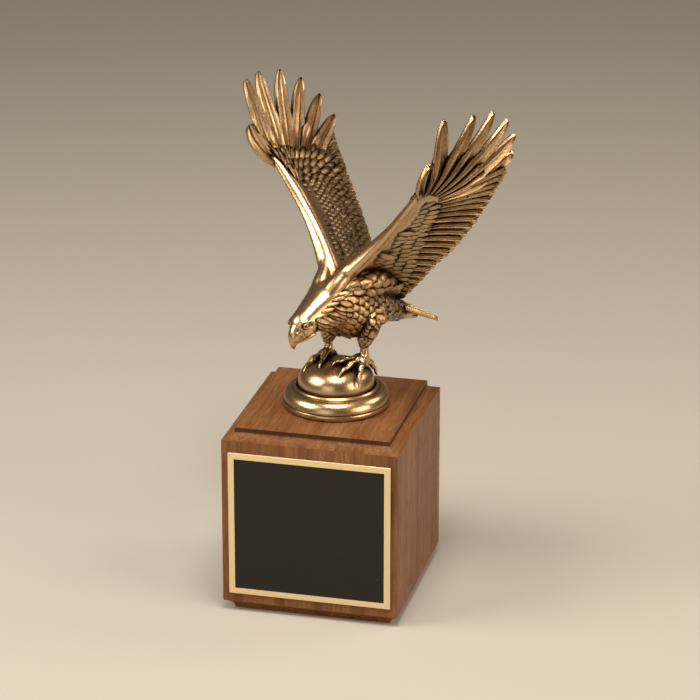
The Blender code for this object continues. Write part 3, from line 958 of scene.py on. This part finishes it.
# %% Coverts on the wings
FLOW_SPAN = 58.0
FLOW_CHORD = 10.0
FLOW_LEAST = 5.0


def flow(span, chord):
    """The way plumage lies at a place of the wing, as (along the span, along the chord)."""
    return Vector((max(0.0, span - FLOW_SPAN), max(FLOW_LEAST, chord - FLOW_CHORD))).normalized()


def wing_spot(span, chord, side, upper, size, aim=None, sink=0.0):
    """A feather's seat on the wing; size is (width, length, lift) in figure units."""
    sign = 1.0 if upper else -1.0

    def skin_at(s, c):
        return wing_point(s, c, arm_level(s, c, upper) - sign * sink, side)

    place = skin_at(span, chord)
    along_span = skin_at(span + 0.5, chord) - place
    along_chord = skin_at(span, chord + 0.5) - place
    out = wing_point(span, chord, 1.0, side) - wing_point(span, chord, 0.0, side)
    facing = along_span.cross(along_chord).normalized()
    if facing.dot(out) * sign < 0.0:
        facing = -facing
    aim = aim or flow(span, chord)
    way = along_span * aim.x + along_chord * aim.y
    return place, facing, way.normalized(), Vector(size) * FIGURE_UNIT


BAND_ROWS = [
    # (span, (chord where the burnished band behind the front edge ends,))
    (-14.0, (9.0,)), (11.0, (13.0,)), (32.0, (21.0,)), (46.0, (24.5,)), (63.0, (20.5,)), (80.0, (17.5,)),
    (96.0, (17.0,)),
]
SCALE_ROWS = 8
SCALE_PITCH = 3.7
SCALE_STEP = 3.4
SCALE_BACK = 44.0
SCALE_SIZE = (4.5, 8.2)


def scale_rows(side):
    """Short scales behind the burnished band, in staggered rows that rise slowly."""
    spots = []
    for k in range(SCALE_ROWS):
        for j, span in enumerate(np.arange(-12.0, 66.0, SCALE_PITCH)):
            span = span + SCALE_PITCH / 2 * (k % 2)
            chord = along(BAND_ROWS, span)[0] + SCALE_STEP * k
            if chord > SCALE_BACK:
                continue
            grow = 1.0 + 0.05 * k
            lift = 0.26 + 0.04 * k + 0.10 * math.sin(2.4 * j + 1.7 * k)
            size = (SCALE_SIZE[0] * grow, SCALE_SIZE[1] * grow, lift)
            spots.append(wing_spot(span, chord, side, True, size))
    return spots


UPPER_ROWS = (
    # (chord, length, width, lift)
    (37.0, 13.0, 4.7, 0.42), (44.0, 14.0, 4.9, 0.46), (51.0, 14.0, 5.1, 0.5), (57.5, 12.5, 5.3, 0.42),
)
UPPER_PITCH = 4.3
UPPER_END = 78.0
UPPER_LEVEL = 62.0
WANDER = 0.9


def upper_rows(side):
    """Longer coverts behind the scales, in rows that wander a little."""
    spots = []
    for k, (chord, length, width, lift) in enumerate(UPPER_ROWS):
        for j, span in enumerate(np.arange(-20.0 + 2.1 * (k % 2), UPPER_END, UPPER_PITCH)):
            back = chord - 0.10 * (UPPER_LEVEL - span) + WANDER * math.sin(1.9 * j + k)
            high = lift * (1.0 + 0.4 * math.sin(2.9 * j + 1.3 * k))
            spots.append(wing_spot(span, back, side, True, (width, length, high)))
    return spots


UNDER_ROWS = 4
UNDER_PITCH = 4.4
UNDER_EDGE = 54.1
UNDER_SLOPE = 0.17
UNDER_BACK = 12.0
UNDER_STEP = 7.6
UNDER_MARGIN = 9.0


def under_rows(side):
    """Flat coverts beneath, whose tips end near one line across the wing."""
    spots = []
    for k in range(UNDER_ROWS):
        size = (5.4, 12.6, 0.45 - 0.06 * k)
        for span in np.arange(-22.0 + UNDER_PITCH / 2 * (k % 2), 66.0, UNDER_PITCH):
            line = UNDER_EDGE - UNDER_SLOPE * span - UNDER_BACK - UNDER_STEP * k
            line += WANDER * math.sin(1.7 * span + k)
            if line < front_edge(span) + UNDER_MARGIN:
                continue
            spots.append(wing_spot(span, line, side, False, size, sink=-0.3))
    return spots


FAN_ROWS = 3
FAN_FIRST = -9.0
FAN_LAST = 86.0
FAN_PITCH = 4.3
FAN_SIZE = (4.9, 13.5)


def fan_rows(side):
    """Rows of narrow coverts fanned over the roots of the fingers."""
    spots = []
    for k in range(FAN_ROWS):
        angle = FAN_FIRST
        while angle < FAN_LAST:
            tip = 27.0 + 17.0 * (max(0.0, angle) / 70.0) ** 3 - 8.6 * k
            aim = Vector((math.cos(math.radians(angle)), math.sin(math.radians(angle))))
            place = FAN_PIVOT + aim * max(1.0, tip - 11.0)
            lift = 1.0 + 0.4 * math.sin(0.9 * angle + 2.0 * k)
            spots.append(wing_spot(place.x, place.y, side, True, (*FAN_SIZE, lift), aim, -0.6))
            angle += math.degrees(FAN_PITCH / tip)
    return spots


wing_spots = []
for side, word in SIDES:
    wing_spots += scale_rows(side) + upper_rows(side) + under_rows(side) + fan_rows(side)
wing_coverts = cover("wing_coverts", wing_spots, tree, pattern, bronze)
print(len(wing_spots), "coverts,", triangles([wing_coverts]), "triangles")

# %% [markdown]
# ## Plumage of the body
# The crown and nape are left smooth, as a burnisher leaves them. Long hackles hang from the sides of
# the neck, big loose feathers cover the breast and flanks, and short ones wrap the thighs. A ray cast
# from outside finds the clay, and the feather lies there with its aim turned along the skin.

# %% Plumage of the body
clay_points = [vertex.co for vertex in skin.data.vertices]
clay_tree = BVHTree.FromPolygons(clay_points, [tuple(face.vertices) for face in skin.data.polygons])
UNFIGURE = FIGURE.inverted()
CLOSE = 3.0
LOOSE = 9.0
OUTSIDE = 16.0


def skin_spot(start, towards, aim, size, expect, slack):
    """A feather's seat where a ray meets the clay, or None where it meets something else first."""
    origin = FIGURE @ Vector(start)
    goal = FIGURE @ Vector(towards)
    hit, facing, index, gap = clay_tree.ray_cast(origin, (goal - origin).normalized())
    if hit is None:
        return None
    if (UNFIGURE @ hit - Vector(expect)).length > slack:
        return None
    if facing.dot(origin - hit) < 0.0:
        facing = -facing
    way = (FIGURE.to_3x3() @ Vector(aim)).normalized()
    way = (way - facing * way.dot(facing)).normalized()
    return hit, facing, way, Vector(size) * FIGURE_UNIT


def trunk_spots():
    spots = []
    for row, forward in enumerate(np.arange(-48.0, 31.0, 4.2)):
        height, wide, deep = along(BODY_ROWS, forward)
        neck = smoothstep(forward, 2.0, 16.0)
        width = 6.4 - 3.6 * neck
        length = 10.5 + 1.0 * neck
        count = int(2 * math.pi * math.sqrt((wide**2 + deep**2) / 2) / (width * 0.78))
        for k in range(count):
            turn = 2 * math.pi * (k + 0.5 * (row % 2)) / count
            rise = math.sin(turn)
            if forward > -8.0 and rise > 0.80 - 0.12 * neck:
                continue
            if forward > 24.0 and abs(rise - 0.1) > 0.4:
                continue
            droop = (-1.0, 0.0, -0.35 - 0.3 * neck if rise < 0.5 else -0.1)
            lift = 0.75 - 0.1 * neck + 0.25 * math.sin(2.3 * k + row)
            slack = LOOSE if rise > 0.1 and forward < 0.0 else CLOSE
            found = skin_spot(
                body_place(forward, turn, OUTSIDE), (forward, 0.0, height), droop, (width, length, lift),
                body_place(forward, turn), slack,
            )
            if found:
                spots.append(found)
    return spots


def thigh_spots(side):
    spots = []
    path = [(float(i), (*point, radius)) for i, (point, radius) in enumerate(leg_path(side)[:5])]
    for row, at in enumerate(np.arange(0.35, 3.5, 0.34)):
        forward, left, up, radius = along(path, at)
        count = max(7, int(2 * math.pi * radius / 3.6))
        for k in range(count):
            turn = 2 * math.pi * (k + 0.5 * (row % 2)) / count
            start = (forward + 18.0 * math.cos(turn), left + 18.0 * math.sin(turn), up)
            expect = (forward + radius * math.cos(turn), left + radius * math.sin(turn), up)
            size = (5.2 - 0.4 * at, 6.6 - 0.6 * at, 0.8)
            found = skin_spot(start, (forward, left, up), (-0.1, 0.0, -1.0), size, expect, 3.4)
            if found:
                spots.append(found)
    return spots


body_spots = trunk_spots() + [spot for side, word in SIDES for spot in thigh_spots(side)]
plumage = cover("plumage", body_spots, tree, pattern, bronze)
bpy.data.objects.remove(pattern, do_unlink=True)
print(len(body_spots), "body feathers,", triangles([plumage]), "triangles")

# %% [markdown]
# ## Join the casting
# The real figure and its base come out of one mould, so here too they end as one object, which stands
# for the casting in the frame. Faces that the thinning left degenerate are dropped. Edges sharper than
# 60 degrees stay crisp and the rest are shaded smooth.

# %% Join the casting
CRISP_ANGLE = math.radians(60.0)

casting = join([base, skin, *blades, *details, wing_coverts, plumage], "eagle")
print("faces mended:", casting.data.validate())
casting.data.shade_smooth()
casting.data.set_sharp_from_angle(angle=CRISP_ANGLE)
print("casting has", triangles([casting]), "triangles")

# %% [markdown]
# ## Where the patina stays
# A founder darkens a bronze all over and then rubs it back, so the dark stays in the hollows. Rays
# thrown out from each point of the skin measure how shut in it is, and the share that is stopped is
# stored on the point for the finish to read. Such an attribute does not depend on the view, so it holds
# from every side.

# %% Where the patina stays
RECESS = "recess"
RECESS_RAYS = 10
RECESS_REACH = 0.007
RECESS_START = 0.00015
RECESS_FADE = 0.6
GOLDEN_TURN = math.pi * (3.0 - math.sqrt(5.0))


def hemisphere(count):
    """Directions spread evenly over the upper half sphere."""
    found = []
    for i in range(count):
        rise = 0.12 + 0.85 * (i + 0.5) / count
        flat = math.sqrt(1.0 - rise * rise)
        found.append(Vector((flat * math.cos(GOLDEN_TURN * i), flat * math.sin(GOLDEN_TURN * i), rise)))
    return found


def store_recess(made):
    """Stores on each point the share of its rays that something near stops."""
    data = made.data
    points = [vertex.co for vertex in data.vertices]
    tree = BVHTree.FromPolygons(points, [tuple(face.vertices) for face in data.polygons])
    rays = hemisphere(RECESS_RAYS)
    total = sum(ray.z for ray in rays)
    values = np.zeros(len(data.vertices), np.float32)
    for i, vertex in enumerate(data.vertices):
        normal = vertex.normal
        turn = normal.to_track_quat("Z", "Y")
        start = vertex.co + normal * RECESS_START
        stopped = 0.0
        for ray in rays:
            hit, facing, index, gap = tree.ray_cast(start, turn @ ray, RECESS_REACH)
            if hit is not None:
                stopped += ray.z * (1.0 - RECESS_FADE * gap / RECESS_REACH)
        values[i] = stopped / total
    data.attributes.new(RECESS, "FLOAT", "POINT").data.foreach_set("value", values)
    return values


recess = store_recess(casting)
print("recess up to", round(float(recess.max()), 2), "mean", round(float(recess.mean()), 2))

# %% [markdown]
# ## Shared effects
# Two effects are node groups, built once. The first is the uneven skin that a sand cast metal keeps.
# The second draws barbs on a vane: slanted lines on both sides of the shaft.

# %% Shared effects
def group(name, inputs, outputs):
    tree = bpy.data.node_groups.new(name, "ShaderNodeTree")
    for label, kind, value in inputs:
        socket = tree.interface.new_socket(label, in_out="INPUT", socket_type=kind)
        if value is not None:
            socket.default_value = value
    for label, kind in outputs:
        tree.interface.new_socket(label, in_out="OUTPUT", socket_type=kind)
    return tree, tree.nodes.new("NodeGroupInput"), tree.nodes.new("NodeGroupOutput")


def math_node(tree, operation, *values):
    """A Math node fed by links or numbers."""
    made = tree.nodes.new("ShaderNodeMath")
    made.operation = operation
    for socket, value in zip(made.inputs, values):
        if isinstance(value, (int, float)):
            socket.default_value = value
        else:
            tree.links.new(value, socket)
    return made.outputs[0]


def noise_node(tree, vector, scale, detail=3.0, rough=0.55):
    made = tree.nodes.new("ShaderNodeTexNoise")
    made.inputs["Scale"].default_value = scale
    made.inputs["Detail"].default_value = detail
    made.inputs["Roughness"].default_value = rough
    tree.links.new(vector, made.inputs["Vector"])
    return made.outputs["Fac"]


def ramp_node(tree, value, stops):
    made = tree.nodes.new("ShaderNodeValToRGB")
    while len(made.color_ramp.elements) < len(stops):
        made.color_ramp.elements.new(0.5)
    for element, (place, colour) in zip(made.color_ramp.elements, stops):
        element.position = place
        element.color = (*colour, 1.0)
    tree.links.new(value, made.inputs["Fac"])
    return made.outputs["Color"]


def mix_node(tree, factor, first, second):
    made = tree.nodes.new("ShaderNodeMix")
    made.data_type = "RGBA"
    for socket, value in ((made.inputs[0], factor), (made.inputs[6], first), (made.inputs[7], second)):
        if isinstance(value, (int, float)):
            socket.default_value = value
        elif isinstance(value, tuple):
            socket.default_value = (*value, 1.0)
        else:
            tree.links.new(value, socket)
    return made.outputs[2]


def bump_node(tree, height, strength, distance):
    made = tree.nodes.new("ShaderNodeBump")
    made.inputs["Strength"].default_value = strength
    made.inputs["Distance"].default_value = distance
    tree.links.new(height, made.inputs["Height"])
    return made


def open_tree(material):
    """The material's node tree and its Principled node."""
    material.use_nodes = True
    return material.node_tree, material.node_tree.nodes["Principled BSDF"]


def cast_skin_group():
    tree, given, result = group(
        "cast_skin", [("Vector", "NodeSocketVector", None)], [("Height", "NodeSocketFloat")]
    )
    coarse = noise_node(tree, given.outputs["Vector"], 420.0)
    fine = noise_node(tree, given.outputs["Vector"], 1500.0, 2.0)
    height = math_node(tree, "MULTIPLY_ADD", coarse, 0.65, math_node(tree, "MULTIPLY", fine, 0.35))
    tree.links.new(height, result.inputs["Height"])
    return tree


def barbs_group():
    tree, given, result = group(
        "barbs",
        [
            ("Vane", "NodeSocketVector", None), ("Pitch", "NodeSocketFloat", 1.1),
            ("Slant", "NodeSocketFloat", 1.3),
        ],
        [("Height", "NodeSocketFloat"), ("Mask", "NodeSocketFloat")],
    )
    split = tree.nodes.new("ShaderNodeSeparateXYZ")
    tree.links.new(given.outputs["Vane"], split.inputs[0])
    across, reach, half = split.outputs
    out = math_node(tree, "MULTIPLY", math_node(tree, "ABSOLUTE", across), half)
    slanted = math_node(tree, "SUBTRACT", reach, math_node(tree, "MULTIPLY", out, given.outputs["Slant"]))
    turns = math_node(tree, "DIVIDE", slanted, given.outputs["Pitch"])
    phase = math_node(tree, "MULTIPLY", turns, 2.0 * math.pi)
    wave = math_node(tree, "MULTIPLY_ADD", math_node(tree, "SINE", phase), 0.5, 0.5)
    mask = math_node(tree, "GREATER_THAN", half, 0.05)
    tree.links.new(math_node(tree, "MULTIPLY", wave, mask), result.inputs["Height"])
    tree.links.new(mask, result.inputs["Mask"])
    return tree


cast_skin = cast_skin_group()
barbs = barbs_group()
print("groups", cast_skin.name, barbs.name)

# %% [markdown]
# ## Bronze finish
# The metal is a warm bronze, bright on the high points and dark brown in the hollows. The stored
# recess picks between the two, and a slow noise keeps the patina uneven. Barbs and the cast skin go
# into the bump, and hollows are rougher than burnished crests.

# %% Bronze finish
PATINA = (0.016, 0.007, 0.003)
BROWN = (0.105, 0.050, 0.017)
GOLD = (0.25, 0.145, 0.064)
BRIGHT = (0.55, 0.38, 0.205)


def place_group(tree, group_tree):
    made = tree.nodes.new("ShaderNodeGroup")
    made.node_tree = group_tree
    return made


def attribute_node(tree, name):
    made = tree.nodes.new("ShaderNodeAttribute")
    made.attribute_name = name
    return made


def finish_bronze(material):
    tree, shader = open_tree(material)
    place = tree.nodes.new("ShaderNodeTexCoord").outputs["Object"]
    recess = attribute_node(tree, RECESS).outputs["Fac"]
    slow = noise_node(tree, place, 60.0)
    quick = noise_node(tree, place, 700.0)
    wander = math_node(tree, "MULTIPLY_ADD", slow, 0.22, -0.11)
    mottle = math_node(tree, "MULTIPLY_ADD", quick, 0.26, -0.10)
    feathered = math_node(tree, "GREATER_THAN", attribute_node(tree, VANE).outputs["Fac"], 0.0001)
    worn = math_node(tree, "MULTIPLY_ADD", feathered, 0.75, 0.25)
    wander = math_node(tree, "MULTIPLY_ADD", mottle, worn, wander)
    hidden = math_node(tree, "ADD", recess, wander)
    colour = ramp_node(tree, hidden, ((0.02, BRIGHT), (0.14, GOLD), (0.30, BROWN), (0.48, PATINA)))
    tree.links.new(colour, shader.inputs["Base Color"])
    rough = math_node(tree, "MULTIPLY_ADD", hidden, 0.42, 0.27)
    tree.links.new(rough, shader.inputs["Roughness"])
    shader.inputs["Metallic"].default_value = 1.0
    skin_group = place_group(tree, cast_skin)
    tree.links.new(place, skin_group.inputs["Vector"])
    barb_group = place_group(tree, barbs)
    tree.links.new(attribute_node(tree, VANE).outputs["Vector"], barb_group.inputs["Vane"])
    height = math_node(
        tree, "ADD", math_node(tree, "MULTIPLY", skin_group.outputs["Height"], 0.30),
        math_node(tree, "MULTIPLY", barb_group.outputs["Height"], 0.55),
    )
    bump = bump_node(tree, height, 0.55, 0.0004)
    tree.links.new(bump.outputs["Normal"], shader.inputs["Normal"])


finish_bronze(bronze)
casting.data.materials.clear()
casting.data.materials.append(bronze)

# %% [markdown]
# ## Walnut
# The block is veneered: the grain stands upright on its sides and runs front to back on top. A wave
# of stretched noise gives the figure, a finer one gives the short dark pores, and a thin coat of
# lacquer lies over all. The way a face points picks the grain's direction. The upright strip under the
# top edge gets little light, so a painted shade darkens it.

# %% Walnut
WALNUT_DARK = (0.080, 0.027, 0.009)
WALNUT_MID = (0.180, 0.070, 0.023)
WALNUT_LIGHT = (0.262, 0.118, 0.042)
# The next colour and the band after it are painted shade for the strip under the top edge.
WALNUT_PAINTED_SHADE = (0.022, 0.008, 0.004)
PAINTED_SHADE_STRENGTH = 0.8
PAINTED_SHADE_FROM = 0.0002
PAINTED_SHADE_TO = 0.0030


def stretched(tree, vector, scale):
    made = tree.nodes.new("ShaderNodeMapping")
    made.inputs["Scale"].default_value = scale
    tree.links.new(vector, made.inputs["Vector"])
    return made.outputs["Vector"]


def walnut_grain_group():
    tree, given, result = group(
        "walnut_grain", [("Vector", "NodeSocketVector", None)],
        [("Figure", "NodeSocketFloat"), ("Pores", "NodeSocketFloat")],
    )
    vector = given.outputs["Vector"]
    broad = noise_node(tree, vector, 3.0, 4.0, 0.6)
    bands = noise_node(tree, vector, 11.0, 3.0, 0.5)
    figure = math_node(tree, "MULTIPLY_ADD", broad, 0.6, math_node(tree, "MULTIPLY", bands, 0.4))
    tree.links.new(figure, result.inputs["Figure"])
    pores = math_node(tree, "SUBTRACT", noise_node(tree, vector, 42.0, 2.0, 0.6), 0.53)
    pores = math_node(tree, "SMOOTH_MIN", math_node(tree, "MULTIPLY", pores, 9.0), 1.0, 0.1)
    tree.links.new(pores, result.inputs["Pores"])
    return tree


walnut_grain = walnut_grain_group()


def finish_walnut():
    material = bpy.data.materials.new("walnut")
    tree, shader = open_tree(material)
    coordinate = tree.nodes.new("ShaderNodeTexCoord")
    place = coordinate.outputs["Object"]
    split = tree.nodes.new("ShaderNodeSeparateXYZ")
    tree.links.new(coordinate.outputs["Normal"], split.inputs[0])
    upward = math_node(tree, "GREATER_THAN", math_node(tree, "ABSOLUTE", split.outputs[2]), 0.75)
    upright = stretched(tree, place, (30.0, 30.0, 1.8))
    lengthwise = stretched(tree, place, (34.0, 1.8, 34.0))
    vector = mix_node(tree, upward, upright, lengthwise)
    grain = place_group(tree, walnut_grain)
    tree.links.new(vector, grain.inputs["Vector"])
    colour = ramp_node(
        tree, grain.outputs["Figure"], ((0.30, WALNUT_DARK), (0.48, WALNUT_MID), (0.66, WALNUT_LIGHT))
    )
    pores = math_node(tree, "MAXIMUM", grain.outputs["Pores"], 0.0)
    colour = mix_node(tree, math_node(tree, "MULTIPLY", pores, 0.55), colour, WALNUT_DARK)
    # Painted shade: the upright strip just under the top edge is painted darker, where little light reaches.
    split_place = tree.nodes.new("ShaderNodeSeparateXYZ")
    tree.links.new(place, split_place.inputs[0])
    depth = math_node(tree, "SUBTRACT", block_top, split_place.outputs[2])
    under_edge = math_node(tree, "GREATER_THAN", depth, PAINTED_SHADE_FROM)
    above_cove = math_node(tree, "LESS_THAN", depth, PAINTED_SHADE_TO)
    painted_shade = math_node(tree, "MULTIPLY", math_node(tree, "MULTIPLY", under_edge, above_cove), PAINTED_SHADE_STRENGTH)
    colour = mix_node(tree, painted_shade, colour, WALNUT_PAINTED_SHADE)
    tree.links.new(colour, shader.inputs["Base Color"])
    tree.links.new(math_node(tree, "MULTIPLY_ADD", pores, 0.15, 0.42), shader.inputs["Roughness"])
    shader.inputs["Specular IOR Level"].default_value = 0.16
    shader.inputs["Coat Weight"].default_value = 0.06
    shader.inputs["Coat Roughness"].default_value = 0.20
    bump = bump_node(tree, pores, 0.25, 0.0002)
    bump.invert = True
    tree.links.new(bump.outputs["Normal"], shader.inputs["Normal"])
    return material


def paint(node, material):
    """Gives a node of the frame a better material in its first slot."""
    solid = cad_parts[node]
    solid.data.materials.clear()
    solid.data.materials.append(material)


paint("walnut_block", finish_walnut())
print("walnut on the block")

# %% [markdown]
# ## Name plate
# The plate is brass under black lacquer, with a border left pale gold. It carries no text. The
# distance from the plate's edge, worked out from the plate's own box, splits border from field.

# %% Name plate
PLATE_BLACK = (0.013, 0.010, 0.006)
PLATE_FLECK = (0.10, 0.095, 0.08)
PLATE_GOLD = (0.80, 0.62, 0.34)
BORDER = 0.0040


def finish_plate():
    material = bpy.data.materials.new("black_plate")
    tree, shader = open_tree(material)
    place = tree.nodes.new("ShaderNodeTexCoord").outputs["Object"]
    split = tree.nodes.new("ShaderNodeSeparateXYZ")
    tree.links.new(place, split.inputs[0])
    middle = (plate_low + plate_high) / 2
    half = (plate_high - plate_low) / 2
    inside = []
    for axis in (0, 2):
        gap = math_node(tree, "ABSOLUTE", math_node(tree, "SUBTRACT", split.outputs[axis], middle[axis]))
        inside.append(math_node(tree, "LESS_THAN", gap, half[axis] - BORDER))
    field = math_node(tree, "MULTIPLY", *inside)
    speckle = noise_node(tree, place, 900.0, 2.0)
    fleck = math_node(tree, "GREATER_THAN", noise_node(tree, place, 260.0, 1.0), 0.755)
    black = mix_node(tree, math_node(tree, "MULTIPLY", fleck, 0.25), PLATE_BLACK, PLATE_FLECK)
    colour = mix_node(tree, field, PLATE_GOLD, black)
    tree.links.new(colour, shader.inputs["Base Color"])
    tree.links.new(math_node(tree, "MULTIPLY_ADD", field, -0.55, 0.55), shader.inputs["Metallic"])
    tree.links.new(math_node(tree, "MULTIPLY_ADD", speckle, 0.12, 0.34), shader.inputs["Roughness"])
    shader.inputs["Specular IOR Level"].default_value = 0.25
    return material


paint("name_plate", finish_plate())
print("plate border", BORDER * 1000, "mm")

# %% [markdown]
# ## Floor and lights
# Metal shows what surrounds it. A pale floor alone would wash it out, so the room is kept dim and
# large soft lights stand above, at the left, at the right and behind, with a faint one in front. Their
# reflections draw the bright bands on the neck, the arm and the rings of the base.

# %% Floor and lights
FLOOR_SIZE = 8.0
FLOOR_COLOUR = (0.50, 0.46, 0.40, 1.0)
ROOM_COLOUR = (0.15, 0.12, 0.09, 1.0)
LIT_POINT = Vector((0.0, 0.0, 0.2))
LIGHTS = (
    # (name, place, watts, size, colour)
    ("top", (0.12, -0.40, 1.35), 14.0, 0.55, (1.0, 0.96, 0.90)),
    ("key", (-0.95, -0.55, 0.95), 14.0, 0.75, (1.0, 0.94, 0.86)),
    ("right", (1.3, -0.45, 0.60), 10.0, 0.8, (1.0, 0.86, 0.70)),
    ("back", (1.05, 0.60, 1.05), 5.0, 0.6, (1.0, 0.92, 0.80)),
    ("front", (-0.3, -1.6, 0.45), 3.0, 0.9, (1.0, 1.0, 1.0)),
)


def stage_floor():
    bpy.ops.mesh.primitive_plane_add(size=FLOOR_SIZE)
    floor = bpy.context.object
    floor.name = "floor"
    surface = bpy.data.materials.new("floor")
    tree, shader = open_tree(surface)
    shader.inputs["Base Color"].default_value = FLOOR_COLOUR
    shader.inputs["Roughness"].default_value = 0.7
    floor.data.materials.append(surface)


def soft_light(name, place, power, size, colour):
    light = bpy.data.lights.new(name, "AREA")
    light.energy = power
    light.size = size
    light.color = colour
    made = put(name, light)
    made.location = place
    made.rotation_euler = (LIT_POINT - Vector(place)).to_track_quat("-Z", "Y").to_euler()


stage_floor()
for light in LIGHTS:
    soft_light(*light)
world = bpy.data.worlds.new("studio")
world.use_nodes = True
world.node_tree.nodes["Background"].inputs["Color"].default_value = ROOM_COLOUR
bpy.context.scene.world = world
bpy.context.scene.view_settings.view_transform = "Standard"
print(len(LIGHTS), "lights set")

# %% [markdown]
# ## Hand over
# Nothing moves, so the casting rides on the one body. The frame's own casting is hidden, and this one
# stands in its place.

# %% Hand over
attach(casting, "root")
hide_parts("eagle_casting")
